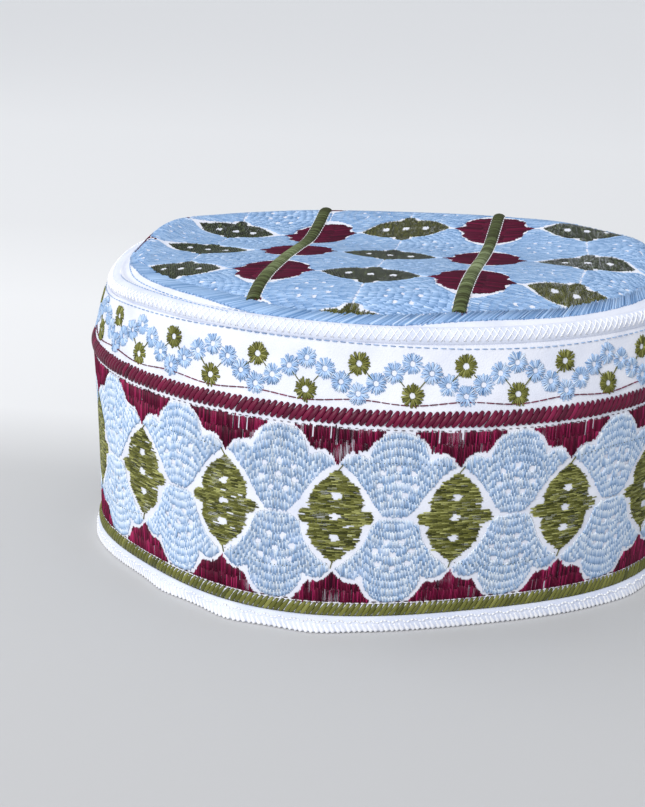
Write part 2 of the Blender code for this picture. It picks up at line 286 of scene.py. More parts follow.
def crown_height(x, y):
    """Height of the crown's top face at plan positions in mm."""
    table = np.array(CROWN_DISH)
    count = len(x)
    down = table[1:, 1:].T
    columns = [curve_through(table[1:, 0], np.tile(column, (count, 1)), y) for column in down]
    full = curve_through(table[0, 1:], np.stack(columns, axis=1), x)
    shoulder = np.array(CROWN_SHOULDER)
    behind = np.clip(y / BACK_STARTS, 0.0, 1.0)
    faster = 1.0 + (BACK_STEEPNESS - 1.0) * behind * behind * (3.0 - 2.0 * behind)
    from_edge = edge_distance(x, y)
    climb = curve_through(shoulder[:, 0], np.tile(shoulder[:, 1], (count, 1)), from_edge * faster)
    lip = LIP_SLOPE * np.clip(-from_edge, 0.0, LIP_REACH)
    share = np.arctan2(y, x) / (2.0 * math.pi)
    sunk = SAG_CARRIED * sag(share) * np.exp(-((np.maximum(from_edge, 0.0) / SAG_FADES) ** 2))
    puffed = PUFF_HEIGHT * hump(share, PUFF_PLACE, PUFF_BREADTH)
    puffed = puffed * np.exp(-(((from_edge - PUFF_IN) / PUFF_IN) ** 2))
    return CROWN_EDGE_HEIGHT + lip + np.minimum(climb, 1.0) * (full - CROWN_EDGE_HEIGHT) - sunk + puffed


def crown_point(x, y, out=0.0):
    """Position in mm on the crown's top face, moved out of the cloth by a distance."""
    step = 0.5
    high = crown_height(x, y)
    slope_x = (crown_height(x + step, y) - crown_height(x - step, y)) / (2.0 * step)
    slope_y = (crown_height(x, y + step) - crown_height(x, y - step)) / (2.0 * step)
    lean = np.sqrt(1.0 + slope_x**2 + slope_y**2)
    out = out / lean
    return np.stack([x - slope_x * out, y - slope_y * out, high + out], axis=-1)


middle = crown_height(np.zeros(1), np.zeros(1))[0]
print("crown height in the middle, mm:", round(middle, 2))

# %% [markdown]
# ## Thread and cloth finishes
# Silk floss shines along its length and each pass of the needle has its own shade. One thread
# material is made for each colour: a number stored on every stitch shifts its shade between a dark
# and a light one, and a little sheen stands in for the floss. The cotton gets a fine weave and soft
# unevenness from procedural textures, so it holds up from any side.


# %% Finishes
def new_material(name):
    made = bpy.data.materials.new(name)
    made.use_nodes = True
    nodes = made.node_tree.nodes
    return made, nodes, made.node_tree.links, nodes["Principled BSDF"]


def set_inputs(node, values):
    for name, value in values.items():
        node.inputs[name].default_value = value


def new_node(nodes, kind, values=()):
    node = nodes.new("ShaderNode" + kind)
    set_inputs(node, dict(values))
    return node


def colour_ramp(nodes, *stops):
    """A colour ramp from its stops in order, each a position and a colour."""
    ramp = new_node(nodes, "ValToRGB")
    marks = ramp.color_ramp.elements
    for mark, (position, colour) in ((marks[0], stops[0]), (marks[1], stops[-1])):
        mark.position, mark.color = position, (*colour, 1.0)
    for position, colour in stops[1:-1]:
        marks.new(position).color = (*colour, 1.0)
    return ramp


def thread_finish(name, dark, plain, light, roughness, sheen):
    """Embroidery floss whose shade runs from dark to light with each stitch's own number."""
    made, nodes, links, shader = new_material(name)
    shade = new_node(nodes, "Attribute")
    shade.attribute_name = "shade"
    ramp = colour_ramp(nodes, (0.0, dark), (0.5, plain), (1.0, light))
    links.new(shade.outputs["Fac"], ramp.inputs["Fac"])
    links.new(ramp.outputs["Color"], shader.inputs["Base Color"])
    place = new_node(nodes, "TexCoord")
    fibre = new_node(nodes, "TexNoise", {"Scale": 2600.0, "Detail": 2.0})
    bump = new_node(nodes, "Bump", {"Strength": 0.25, "Distance": 0.0001})
    links.new(place.outputs["Object"], fibre.inputs["Vector"])
    links.new(fibre.outputs["Fac"], bump.inputs["Height"])
    links.new(bump.outputs["Normal"], shader.inputs["Normal"])
    set_inputs(shader, {"Roughness": roughness, "Specular IOR Level": 0.28})
    set_inputs(shader, {"Sheen Weight": sheen, "Sheen Roughness": 0.4})
    return made


def cotton_finish(name, shadow, plain):
    """White cotton: a fine weave, soft unevenness and small needle marks."""
    made, nodes, links, shader = new_material(name)
    place = new_node(nodes, "TexCoord")
    patches = new_node(nodes, "TexNoise", {"Scale": 90.0, "Detail": 4.0})
    ramp = colour_ramp(nodes, (0.3, shadow), (0.65, plain))
    weave = new_node(nodes, "TexVoronoi", {"Scale": 1700.0})
    marks = new_node(nodes, "TexVoronoi", {"Scale": 520.0})
    deepen = new_node(nodes, "Math")
    deepen.operation = "MINIMUM"
    deepen.inputs[1].default_value = 0.22
    fine = new_node(nodes, "Bump", {"Strength": 0.35, "Distance": 0.0002})
    coarse = new_node(nodes, "Bump", {"Strength": 0.2, "Distance": 0.0006})
    for texture in (patches, weave, marks):
        links.new(place.outputs["Object"], texture.inputs["Vector"])
    links.new(patches.outputs["Fac"], ramp.inputs["Fac"])
    links.new(ramp.outputs["Color"], shader.inputs["Base Color"])
    links.new(weave.outputs["Distance"], fine.inputs["Height"])
    links.new(marks.outputs["Distance"], deepen.inputs[0])
    links.new(deepen.outputs["Value"], coarse.inputs["Height"])
    links.new(fine.outputs["Normal"], coarse.inputs["Normal"])
    links.new(coarse.outputs["Normal"], shader.inputs["Normal"])
    set_inputs(shader, {"Roughness": 0.88, "Sheen Weight": 0.25})
    return made


pale_blue_floss = thread_finish(
    "pale_blue_floss", (0.12, 0.25, 0.48), (0.40, 0.57, 0.82), (0.88, 0.93, 0.98),
    roughness=0.5, sheen=0.05,
)
olive_floss = thread_finish(
    "olive_floss", (0.04, 0.045, 0.006), (0.17, 0.175, 0.034), (0.46, 0.47, 0.17),
    roughness=0.42, sheen=0.03,
)
deep_olive_floss = thread_finish(
    "deep_olive_floss", (0.012, 0.018, 0.005), (0.06, 0.08, 0.028), (0.26, 0.31, 0.15),
    roughness=0.42, sheen=0.03,
)
rib_floss = thread_finish(
    "rib_floss", (0.03, 0.035, 0.006), (0.11, 0.14, 0.05), (0.32, 0.38, 0.21),
    roughness=0.36, sheen=0.04,
)
maroon_floss = thread_finish(
    "maroon_floss", (0.03, 0.0, 0.01), (0.15, 0.002, 0.034), (0.44, 0.02, 0.12),
    roughness=0.42, sheen=0.0,
)
white_floss = thread_finish(
    "white_floss", (0.62, 0.64, 0.74), (0.84, 0.85, 0.91), (0.95, 0.96, 0.98),
    roughness=0.6, sheen=0.2,
)
white_cotton = cotton_finish("white_cotton", (0.68, 0.71, 0.82), (0.79, 0.81, 0.89))
# A darker, bluer copy of the white cotton for the hem and the padded seam: painted shade on the same white
# cloth.
painted_shade_cotton = cotton_finish("painted_shade_cotton", (0.60, 0.65, 0.80), (0.72, 0.76, 0.88))
print("materials:", len(bpy.data.materials))

# %% [markdown]
# ## The cloth underneath
# The wall is two bands of quilted cotton. Each is a flat grid, bent on to the ovals by a function and
# then given its thickness by a Solidify modifier, which is how a maker thinks of cloth too: a sheet
# first, then its thickness. A few tenths of a millimetre of slow unevenness keep it from looking
# like plastic.


# %% Helpers that bend a grid into cloth
def add_piece(name, data, finish, slot, *nodes_replaced):
    obj = bpy.data.objects.new(name, data)
    bpy.context.scene.collection.objects.link(obj)
    data.materials.append(finish)
    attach(obj, "root")
    if nodes_replaced:
        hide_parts(*nodes_replaced)
    return obj


def bent_grid(name, columns, rows, position, wrap_rows=False):
    """A closed strip of faces that a function bends into place. Rows may meet round a section too."""
    bm = bmesh.new()
    bmesh.ops.create_grid(bm, x_segments=columns, y_segments=rows, size=1.0)
    bm.verts.ensure_lookup_table()
    cells = np.array([vert.co[:2] for vert in bm.verts])
    share = np.round((cells[:, 0] + 1.0) / 2.0 * columns) / columns
    row = np.round((cells[:, 1] + 1.0) / 2.0 * rows).astype(int)
    if wrap_rows:
        row = row % rows
    for vert, point in zip(bm.verts, position(np.mod(share, 1.0), row) * MM):
        vert.co = Vector(point)
    bmesh.ops.remove_doubles(bm, verts=bm.verts[:], dist=1e-6)
    bmesh.ops.recalc_face_normals(bm, faces=bm.faces[:])
    data = bpy.data.meshes.new(name)
    bm.to_mesh(data)
    bm.free()
    data.polygons.foreach_set("use_smooth", np.ones(len(data.polygons), bool))
    return data


def cloth_thickness(obj, thickness):
    solid = obj.modifiers.new("cloth thickness", "SOLIDIFY")
    solid.thickness = thickness * MM
    solid.offset = -1.0
    solid.use_even_offset = True


def soft_unevenness(share, height, depth):
    """Slow bumps of hand quilted cloth, the same on both ends of the round."""
    turn = 2.0 * math.pi * share
    bumps = np.sin(23 * turn + 0.21 * height) * np.sin(0.33 * height + 3 * turn)
    bumps += 0.6 * np.sin(41 * turn - 0.4 * height)
    return depth * bumps


# %% The two bands
LOWER_BAND_BOTTOM = 1.6
LOWER_BAND_TOP = MAROON_ROPE_HEIGHT - 0.9
UPPER_BAND_BOTTOM = MAROON_ROPE_HEIGHT + 0.9
UPPER_BAND_TOP = 89.5
COLUMNS_ROUND = 360
UNEVENNESS = 0.1


def band(name, rows):
    """One band of the wall: a grid of the given heights, bent round and given its thickness."""

    def place(share, row):
        return wall_point(share, rows[row], soft_unevenness(share, rows[row], UNEVENNESS) - UNEVENNESS)

    data = bent_grid(f"{name}_cloth", COLUMNS_ROUND, len(rows) - 1, place)
    cloth_thickness(add_piece(f"{name}_cloth", data, white_cotton, name, name), CLOTH)
    return data


low_rows = np.concatenate([[LOWER_BAND_BOTTOM], np.linspace(GREEN_ROPE_HEIGHT, LOWER_BAND_TOP, 41)])
low_mesh = band("lower_band", low_rows)
high_mesh = band("upper_band", np.linspace(UPPER_BAND_BOTTOM, UPPER_BAND_TOP, 17))
print("band faces:", len(low_mesh.polygons), len(high_mesh.polygons))

# %% [markdown]
# ## Hem, seam and crown cloth
# The hem is one strip folded up outside and inside the band's edge, so its section is a narrow U that
# a function carries round. The padded seam is a section with rounded corners, carried round in the
# same way. The crown is a sheet of rings, from the middle out to the seam.

# %% Hem
HEM_OUTER_HEIGHT = 4.9
HEM_INNER_HEIGHT = 9.0
HEM_FOLD = 1.3
hem_out = GAP
hem_in = -(CLOTH + 0.5)
# Columns: distance out from the band's face, height.
HEM_SECTION = np.array((
    (hem_out, HEM_OUTER_HEIGHT), (hem_out + 0.6, HEM_OUTER_HEIGHT + 0.1),
    (hem_out + 1.0, HEM_OUTER_HEIGHT - 0.5), (hem_out + 1.05, 3.6), (hem_out + 1.2, 2.2),
    (hem_out + 1.1, 0.9), (hem_out + 0.6, 0.25), (hem_out - 0.1, 0.0), (hem_in + 0.1, 0.0),
    (hem_in - 0.6, 0.25), (hem_in - 1.0, 1.0), (hem_in - 1.0, HEM_INNER_HEIGHT - 0.3),
    (hem_in - 0.7, HEM_INNER_HEIGHT), (hem_in, HEM_INNER_HEIGHT), (hem_in, HEM_FOLD), (hem_out, HEM_FOLD),
))
# Where the soft hem bulges out over the table: share of the way round, how far in mm. The hem stands
# out a little all round, and each bulge has the same half breadth.
HEM_STANDS_OUT, HEM_BULGE_BREADTH = 0.35, 0.015
HEM_BULGES = ((0.648, 1.7), (0.697, 1.9), (0.744, 1.5), (0.16, 1.1), (0.30, 1.2), (0.93, 0.8))


def hem_flare(share, height):
    """How far the hem's outer side stands out, most at its foot."""
    bulges = sum(out * hump(share, place, HEM_BULGE_BREADTH) for place, out in HEM_BULGES)
    flare = HEM_STANDS_OUT + bulges
    return flare * np.clip((HEM_OUTER_HEIGHT - height) / HEM_OUTER_HEIGHT, 0.0, 1.0)


def hem_place(share, row):
    out, height = HEM_SECTION[row].T
    return wall_point(share, height, out + hem_flare(share, height) * (out > 0.5))


hem_mesh = bent_grid("hem_cloth", 480, len(HEM_SECTION), hem_place, wrap_rows=True)
add_piece("hem_cloth", hem_mesh, painted_shade_cotton, "hem", "hem")
print("hem faces:", len(hem_mesh.polygons))

# %% Padded seam
ROLL_SIDES = 24
# How square the section is outside, below and above its middle. It is less so above at the left end:
# share of the way round, half breadth, how much less.
SQUARE_BELOW, SQUARE_ABOVE = 3.2, 2.3
SOFT_PLACE, SOFT_BREADTH, SOFTER = 0.54, 0.075, 1.1

# The seam is pressed flush with the band below it, so its outer side reaches to the band's face.
reach_shares = np.linspace(0.0, 1.0, 361)
face_line = wall_point(np.linspace(0.0, 1.0, 2881), 89.0)[:, :2]
seam_line = roll_plan(reach_shares)
face_reach = np.array([np.linalg.norm(face_line - place, axis=1).min() for place in seam_line])
print("padded seam to band's face, mm:", round(face_reach.min(), 2), "to", round(face_reach.max(), 2))


def roll_section(share, angle, out):
    """Distance out from the seam's centre line and height on its surface."""
    side, rise = np.cos(angle), np.sin(angle)
    above = SQUARE_ABOVE - SOFTER * hump(share, SOFT_PLACE, SOFT_BREADTH)
    power = np.where(side > 0.0, np.where(rise < 0.0, SQUARE_BELOW, above), 2.0)
    swell = (np.abs(side) ** power + np.abs(rise) ** power) ** (-1.0 / power)
    to_face = np.interp(np.mod(share, 1.0), reach_shares, face_reach) + 0.1
    wide = np.where(side > 0.0, to_face, ROLL_RADIUS - 0.2)
    return (swell * wide + out) * side, ROLL_OVAL[0] + (swell * (ROLL_RADIUS - 0.1) + out) * rise


def roll_point(share, angle, out=0.0):
    sideways_out, height = roll_section(share, angle, out)
    sunk = sag(share)
    return np.concatenate([roll_plan(share, sideways_out - 0.2 * sunk), (height - sunk)[:, None]], axis=1)


roll_mesh = bent_grid(
    "seam_roll_cloth", COLUMNS_ROUND, ROLL_SIDES,
    lambda share, row: roll_point(share, 2.0 * math.pi * row / ROLL_SIDES), wrap_rows=True,
)
add_piece("seam_roll_cloth", roll_mesh, painted_shade_cotton, "seam_roll", "seam_roll")
print("padded seam faces:", len(roll_mesh.polygons))

# %% Crown cloth
# Shares of the way out from the middle. The last three run in under the padded seam.
crown_rings = np.concatenate(
    [np.linspace(0.0, 0.8, 33), np.linspace(0.81, 1.0, 20), (1.005, 1.01, 1.018)]
)


def crown_place(share, row):
    plan = roll_plan(share, -(ROLL_RADIUS + GAP)) * crown_rings[row][:, None]
    return np.concatenate([plan, crown_height(plan[:, 0], plan[:, 1])[:, None]], axis=1)


crown_mesh = bent_grid("crown_cloth", 240, len(crown_rings) - 1, crown_place)
crown = add_piece("crown_cloth", crown_mesh, white_cotton, "crown_panel", "crown_panel")
cloth_thickness(crown, CROWN_THICK)
print("crown faces:", len(crown_mesh.polygons))

# %% [markdown]
# ## How a stitch is made
# A satin stitch is a short length of floss that comes up at one needle hole and goes down at
# another. Its mesh is a grain: a point at each end, sunk into the cloth, and two three-sided
# sections between them. That is 12 triangles, closed, so tens of thousands of stitches stay light.
# All stitches of one colour are drawn flat, as start and end points in a pattern plane. Then one
# function lays every corner on the wall or the crown, and joins them into a single mesh.

# %% Stitches into a mesh
GRAIN_FACES = np.array((
    (0, 1, 3), (0, 3, 2), (0, 2, 1), (1, 4, 6), (1, 6, 3), (3, 6, 5),
    (3, 5, 2), (2, 5, 4), (2, 4, 1), (7, 6, 4), (7, 5, 6), (7, 4, 5),
))
# How deep a stitch's ends and its foot lie in the cloth, and how long its tapered end is, in mm.
ENDS_SUNK, FOOT_SUNK, TAPER_LENGTH = 0.12, 0.04, 0.45


def lay_on_wall(points, out):
    """Pattern plane of the wall: millimetres round the cap, and height."""
    return wall_point(points[:, 0] / ROUND, points[:, 1], out)


def lay_on_crown(points, out):
    return crown_point(points[:, 0], points[:, 1], out)


def thread_mesh(name, places, faces, tones):
    """A mesh of threads from arrays of corners in mm, triangles and a shade for each corner."""
    data = bpy.data.meshes.new(name)
    data.vertices.add(len(places))
    data.vertices.foreach_set("co", (places * MM).astype(np.float32).reshape(-1))
    data.loops.add(faces.size)
    data.loops.foreach_set("vertex_index", faces.astype(np.int32).reshape(-1))
    data.polygons.add(len(faces))
    data.polygons.foreach_set("loop_start", np.arange(0, faces.size, 3, dtype=np.int32))
    data.polygons.foreach_set("use_smooth", np.ones(len(faces), bool))
    data.update(calc_edges=True)
    tone = data.attributes.new("shade", "FLOAT", "POINT")
    tone.data.foreach_set("value", np.clip(tones, 0.0, 1.0).astype(np.float32).reshape(-1))
    return data


def add_stitches(name, flat, lay, finish, slot, width, high, shade, base=0.0, shade_end=None):
    """Adds stitches as one piece. Each row of flat is a stitch's start and end in its pattern plane."""
    starts, ends = flat[:, :2], flat[:, 2:]
    count = len(flat)
    along = ends - starts
    length = np.maximum(np.linalg.norm(along, axis=1, keepdims=True), 1e-4)
    half_side = np.stack([-along[:, 1], along[:, 0]], axis=1) / length
    half_side = half_side * np.broadcast_to(width, (count,))[:, None] / 2
    high = np.broadcast_to(high, (count,))
    taper = np.clip(TAPER_LENGTH / length, 0.08, 0.4)
    near, far = starts + along * taper, ends - along * taper
    corners = [starts, near - half_side, near + half_side, near]
    corners += [far - half_side, far + half_side, far, ends]
    sunk = np.full(count, base - ENDS_SUNK)
    foot = np.full(count, base - FOOT_SUNK)
    outs = [sunk, foot, foot, base + high, foot, foot, base + high, sunk]
    places = lay(np.stack(corners, axis=1).reshape(-1, 2), np.stack(outs, axis=1).reshape(-1))
    faces = (GRAIN_FACES[None] + 8 * np.arange(count)[:, None, None]).reshape(-1, 3)
    first = np.broadcast_to(shade, (count,))
    # A given shade_end paints each stitch from one shade at its start to another at its end: painted light
    # along the stitch.
    last = first if shade_end is None else np.broadcast_to(shade_end, (count,))
    tones = np.repeat(np.stack([first, last], axis=1), 4, axis=1)
    print(name, "stitches:", count)
    add_piece(name, thread_mesh(name, places, faces, tones), finish, slot)


# %% [markdown]
# ## Filling a shape with stitches
# An embroiderer draws the motif first and then fills it line by line. The code does the same. A
# shape is given by how far it reaches on each line, small eyelets are left open, and each line is
# cut into stitches. In the petals the cuts follow arcs, which gives the curved rows of long and
# short stitch, and in the pods they step along like brickwork.


# %% Lines of a shape cut into stitches
THREAD_STEP = 0.46
# The shortest span that is worked, and how close to the end of a span a cut may come.
SHORTEST_SPAN, CUT_MARGIN = 0.35, 0.7
# A stitch starts a little before the cut and ends a little past the next one, so no cloth shows.
STARTS_BEFORE, ENDS_PAST = 0.4, 0.25


def open_spans(line, low, high, eyelets):
    """What is left of one line of a shape once the eyelets on it are left open."""
    spans = [(low, high)]
    for across, along, half_across, half_along in eyelets:
        near = abs(line - across) / half_across
        if near >= 1.0:
            continue
        reach = half_along * (1.0 - near**3) ** (1.0 / 3.0)
        kept = []
        for start, end in spans:
            kept += [(start, min(end, along - reach)), (max(start, along + reach), end)]
        spans = [(start, end) for start, end in kept if end - start > SHORTEST_SPAN]
    return spans


def cut_line(line, spans, cuts, ragged):
    """Stitches of one line: its spans cut at the given places, with ragged ends."""
    stitches = []
    for start, end in spans:
        inner = [cut for cut in cuts if start + CUT_MARGIN < cut < end - CUT_MARGIN]
        stops = [start - abs(chance.normal(0.0, ragged)), *inner, end + abs(chance.normal(0.0, ragged))]
        for number, (first, last) in enumerate(zip(stops[:-1], stops[1:])):
            before = STARTS_BEFORE if number else 0.0
            past = ENDS_PAST if last < stops[-1] else 0.0
            stitches.append((line, first - before, last + past))
    return stitches


def dashes(places, length, gap):
    """Running stitch along a flat line given by many points: a start and an end for each stitch."""
    step = np.linalg.norm(np.diff(places, axis=0), axis=1)
    travelled = np.concatenate([[0.0], np.cumsum(step)])
    begin = np.arange(0.0, travelled[-1] - length, length + gap)
    corners = [(begin + on, axis) for on in (0.0, length) for axis in places.T]
    return np.stack([np.interp(at, travelled, axis) for at, axis in corners], axis=1)


def mirrored_table(table, places):
    """A value for each place, read from a table that holds one half of a symmetric shape."""
    half = np.array(table)
    return np.interp(np.abs(places), half[:, 0], half[:, 1])


# %% [markdown]
# ## The motifs of the lower band
# One repeat of the band is a pod between two flower heads that stand waist to waist, with a
# maroon wedge above and below each pod. It was charted: the tables hold half of each
# outline, in millimetres, and everything is mirrored from them. Sixteen repeats go round the cap.

# %% Chart of one repeat
REPEATS = 16
FIRST_POD = 0.565
WAIST = 37.2
# Half outlines of a flower head. Columns: distance from its middle line, height above the waist.
PETAL_EDGE = (
    (0.0, 27.6), (2.8, 27.3), (5.4, 26.1), (7.4, 23.6), (8.6, 20.8), (9.0, 18.6), (9.6, 18.9),
    (11.5, 19.8), (13.3, 19.9), (15.0, 19.2), (16.4, 17.9), (17.3, 16.9),
)
STALK_EDGE = (
    (0.0, 0.2), (3.2, 0.4), (4.2, 1.0), (5.0, 2.0), (6.5, 3.9), (7.9, 6.5), (9.9, 9.4), (13.2, 13.7),
    (17.3, 16.9),
)
DOME_EDGE = (
    (0.0, 0.1), (4.0, 0.5), (5.6, 1.2), (6.6, 2.0), (7.4, 3.3), (8.3, 6.4), (9.8, 9.4), (13.0, 13.2),
    (17.3, 16.5),
)
# Eyelets of a flower head. Columns: distance from its middle line, height above the waist.
EYELETS = (
    (0.0, 16.2), (4.6, 14.6), (-4.6, 14.6), (0.0, 11.7), (5.4, 10.4), (-5.4, 10.4), (2.3, 7.4), (-2.3, 7.4),
)
EYELET_HALF = (1.05, 0.8)
TOP_HEAD_TALL = 0.975
BOTTOM_HEAD_TALL = 1.01
# Half outline of a pod. Columns: distance up or down from its middle, half width.
POD_EDGE = (
    (0.0, 7.8), (5.5, 7.9), (7.2, 7.4), (8.8, 6.5), (10.5, 5.1), (12.3, 3.1), (13.8, 1.3), (14.7, 0.2),
)
# The ears at the pod's middle: how far out they reach, and how far up and down.
POD_EAR = (11.3, 2.3)
POD_HOLES = (-6.7, 0.0, 6.7)
POD_HOLE_HALF = (1.1, 1.65)
# Half outlines of the wedges. Columns: distance from the pod's axis, height from the seam or hem line.
TOP_WEDGE = (
    (0.0, -11.2), (0.9, -9.8), (2.2, -8.0), (4.0, -6.7), (8.2, -6.4), (8.9, -5.8), (9.5, -4.6),
    (10.6, -3.1), (12.2, -1.5), (13.8, -0.5),
)
BOTTOM_WEDGE = (
    (0.0, 10.3), (0.9, 9.1), (2.2, 7.6), (4.0, 6.6), (7.6, 6.4), (8.4, 5.4), (9.4, 3.6), (10.6, 1.9),
    (11.8, 0.6),
)
SEAM_LINE = 64.5
HEM_LINE = 9.1
# Length of the stitches along a line: in the rows of the petals and across a pod.
PETAL_ROW, POD_STITCH = 2.7, 2.4
# The rows of the petals are arcs: height on the middle line, and how fast they fall to the sides.
ARC_TOP, ARC_FALL = 28.2, 0.05
# A wedge is worked in two rows that meet this far from its flat side.
WEDGE_CUT = 4.0


def flower_head(wide, tall, petals=PETAL_EDGE, stalk=STALK_EDGE):
    """Stitches of one head that stands on the waist line: line, start and end of each."""
    stitches = []
    eyelets = [(across * wide, up * tall, EYELET_HALF[0], EYELET_HALF[1]) for across, up in EYELETS]
    lines = np.arange(-17.2 * wide, 17.2 * wide, THREAD_STEP)
    tops = mirrored_table(petals, lines / wide) * tall
    feet = mirrored_table(stalk, lines / wide) * tall
    arcs = (ARC_TOP - ARC_FALL * (lines / wide) ** 2) * tall
    for number, (line, top, foot, arc) in enumerate(zip(lines, tops, feet, arcs)):
        stagger = 0.6 * (number % 2) + chance.normal(0.0, 0.22)
        cuts = sorted(arc - PETAL_ROW * row + stagger for row in range(1, 13))
        stitches += cut_line(line, open_spans(line, foot, top, eyelets), cuts, 0.35)
    return np.array(stitches)


def pod(wide, tall):
    """Stitches of one pod, worked across it: line along its axis, start and end across it."""
    stitches = []
    lines = np.arange(-14.6 * tall, 14.6 * tall, THREAD_STEP)
    halves = mirrored_table(POD_EDGE, lines / tall) * wide
    ears = np.clip(1.0 - (lines / (POD_EAR[1] * tall)) ** 4, 0.0, 1.0) ** 0.7
    ears = ears * (POD_EAR[0] - POD_EDGE[0][1]) * wide
    hole_along, hole_across = POD_HOLE_HALF
    holes = [(place * tall, 0.0, hole_along * tall, hole_across * wide) for place in POD_HOLES]
    for number, (line, half) in enumerate(zip(lines, halves + ears)):
        first_cut = -13.0 + (number * 1.1) % POD_STITCH
        cuts = [first_cut + POD_STITCH * step + chance.normal(0.0, 0.25) for step in range(12)]
        stitches += cut_line(line, open_spans(line, -half, half, holes), cuts, 0.5)
    return np.array(stitches)


def wedge(wide, tall, table, slits=0.0):
    """Stitches of one maroon wedge, worked up and down in two ragged rows.

    Slits is how often one line in three stops at the middle, so that white cloth shows."""
    stitches = []
    reach = table[-1][0] * wide
    lines = np.arange(-reach, reach, THREAD_STEP)
    edges = mirrored_table(table, lines / wide) * tall
    for number, (line, edge) in enumerate(zip(lines, edges)):
        middle = math.copysign(WEDGE_CUT, table[0][1]) * tall + chance.normal(0.0, 0.5)
        low, high = min(edge, 0.0), max(edge, 0.0)
        if number % 3 == 0 and abs(edge) > 5.0 and chance.random() < slits:
            low, high = (low, middle + 0.2) if edge < 0.0 else (middle - 0.2, high)
        stitches += cut_line(line, [(low, high)] if high - low > 0.4 else [], [middle], 0.4)
    return np.array(stitches)


print("stitches in a flower head:", len(flower_head(1.0, 1.0)), "and in a pod:", len(pod(1.0, 1.0)))

# %% [markdown]
# ## Working the lower band
# Each repeat is filled afresh, so that no two are quite alike, and then shifted to its place round
# the cap. Here and there a thread of a pod is left out or a wedge has a slit, and the white cloth
# shows between the threads as it does on the real cap.


# %% Stitches of the lower band
ROLLED_WIDTH = 0.27
FLAT_WIDTHS = (0.42, 0.6)


def placed(stitches, middle, run, sign=1.0, first=1):
    """A motif's stitches as rows of start and end round its middle point in the pattern plane.

    Run is the axis that the stitches run along, and first the side that they start from: 1 or 2."""
    rows = np.empty((len(stitches), 4))
    for corner, column in enumerate((first, 3 - first)):
        rows[:, 2 * corner + run] = middle[run] + sign * stitches[:, column]
        rows[:, 2 * corner + 1 - run] = middle[1 - run] + stitches[:, 0]
    return rows


def thinned(stitches, share_left_out):
    return stitches[chance.random(len(stitches)) > share_left_out]


def thread_widths(count, rolled=0.0):
    """Floss lies flat in most stitches and is rolled up thin in a share of them."""
    return np.where(chance.random(count) < rolled, ROLLED_WIDTH, chance.uniform(*FLAT_WIDTHS, count))


def shades(count, plain, spread):
    return np.clip(plain + chance.normal(0.0, spread, count), 0.02, 0.98)


pitch = ROUND / REPEATS
blue_parts, green_parts, maroon_parts = [], [], []
for repeat in range(REPEATS):
    pod_at = (FIRST_POD + repeat / REPEATS) * ROUND
    head_at = pod_at + 0.5 * pitch
    top_head = flower_head(1.0, TOP_HEAD_TALL)
    bottom_head = flower_head(1.0, BOTTOM_HEAD_TALL, stalk=DOME_EDGE)
    blue_parts.append(placed(top_head, (head_at, WAIST + 0.1), 1))
    blue_parts.append(placed(bottom_head, (head_at, WAIST - 0.1), 1, -1.0, first=2))
    green_parts.append(placed(thinned(pod(1.0, 1.0), 0.015), (pod_at, WAIST - 0.2), 0))
    maroon_parts.append(placed(wedge(1.0, 1.0, TOP_WEDGE, 0.12), (pod_at, SEAM_LINE), 1, first=2))
    maroon_parts.append(placed(wedge(1.0, 1.0, BOTTOM_WEDGE, 0.06), (pod_at, HEM_LINE), 1, first=2))
# A short tail of olive thread is left at both ends of each pod.
tail_parts = []
for repeat in range(REPEATS):
    pod_at = (FIRST_POD + repeat / REPEATS) * ROUND
    bends = chance.choice((-1.0, 1.0))
    tail_parts.append((pod_at, WAIST + 14.2, pod_at + bends * 1.7, WAIST + 16.4))
    tail_parts.append((pod_at, WAIST - 14.4, pod_at - bends * 0.7, WAIST - 17.2))
add_stitches(
    "lower_band_tails", np.array(tail_parts), lay_on_wall, olive_floss, "lower_band",
    width=0.36, high=0.3, shade=0.35,
)
# Columns: name, pieces, finish, share rolled up, mean shade, spread, and how much lighter the end of each
# stitch is. That lighter end is painted light: on the blue heads the upper end of every stitch is painted
# lighter than its lower end, standing for the light from above on the raised rows of the petals.
for name, parts, finish, rolled, plain, spread, painted_lighter_end in (
    ("lower_band_blue", blue_parts, pale_blue_floss, 0.0, 0.42, 0.12, 0.46),
    ("lower_band_green", green_parts, olive_floss, 0.1, 0.46, 0.27, 0.0),
    ("lower_band_maroon", maroon_parts, maroon_floss, 0.06, 0.46, 0.24, 0.0),
):
    flat = np.concatenate(parts)
    tint = shades(len(flat), plain, spread)
    add_stitches(
        name, flat, lay_on_wall, finish, "lower_band",
        width=thread_widths(len(flat), rolled), high=0.34, shade=tint, shade_end=tint + painted_lighter_end,
    )
# The olive thread travels from pod to pod under the heads and shows as a row of dots.
travel_places = np.linspace(-0.5 * pitch + 1.0, 0.5 * pitch - 1.0, 60)
arch = 1.0 - (travel_places / travel_places[-1]) ** 2
dot_parts = []
for repeat in range(REPEATS):
    head_at = (FIRST_POD + (repeat + 0.5) / REPEATS) * ROUND
    height = WAIST + 16.3 + 1.2 * arch if repeat % 2 else WAIST - 15.2 - 2.2 * arch
    dot_parts.append(dashes(np.stack([head_at + travel_places, height], axis=1), 0.4, 0.85))
add_stitches(
    "lower_band_travel_dots", np.concatenate(dot_parts), lay_on_wall, olive_floss, "lower_band",
    width=0.3, high=0.3, shade=0.1, base=0.22,
)

# %% [markdown]
# ## The chart of the crown
# The crown repeats the band's motifs turned on their side: pods lie in rows, flower heads reach to
# left and right between them, and two wedges set back to back make each maroon star. The motifs
# are a little larger than on the band. Whatever runs past the border is cut off, as the maker cut
# the embroidered cloth to the oval.

# %% Stitches of the crown
POD_COLUMNS = (-130.1, -64.7, 0.7, 66.0, 131.3)
STAR_COLUMNS = (-97.4, -32.0, 33.4, 98.7)
POD_ROWS = (-74.1, -33.1, 8.0, 49.0, 90.0)
CROWN_WIDE = 1.128
CROWN_TALL = 1.165
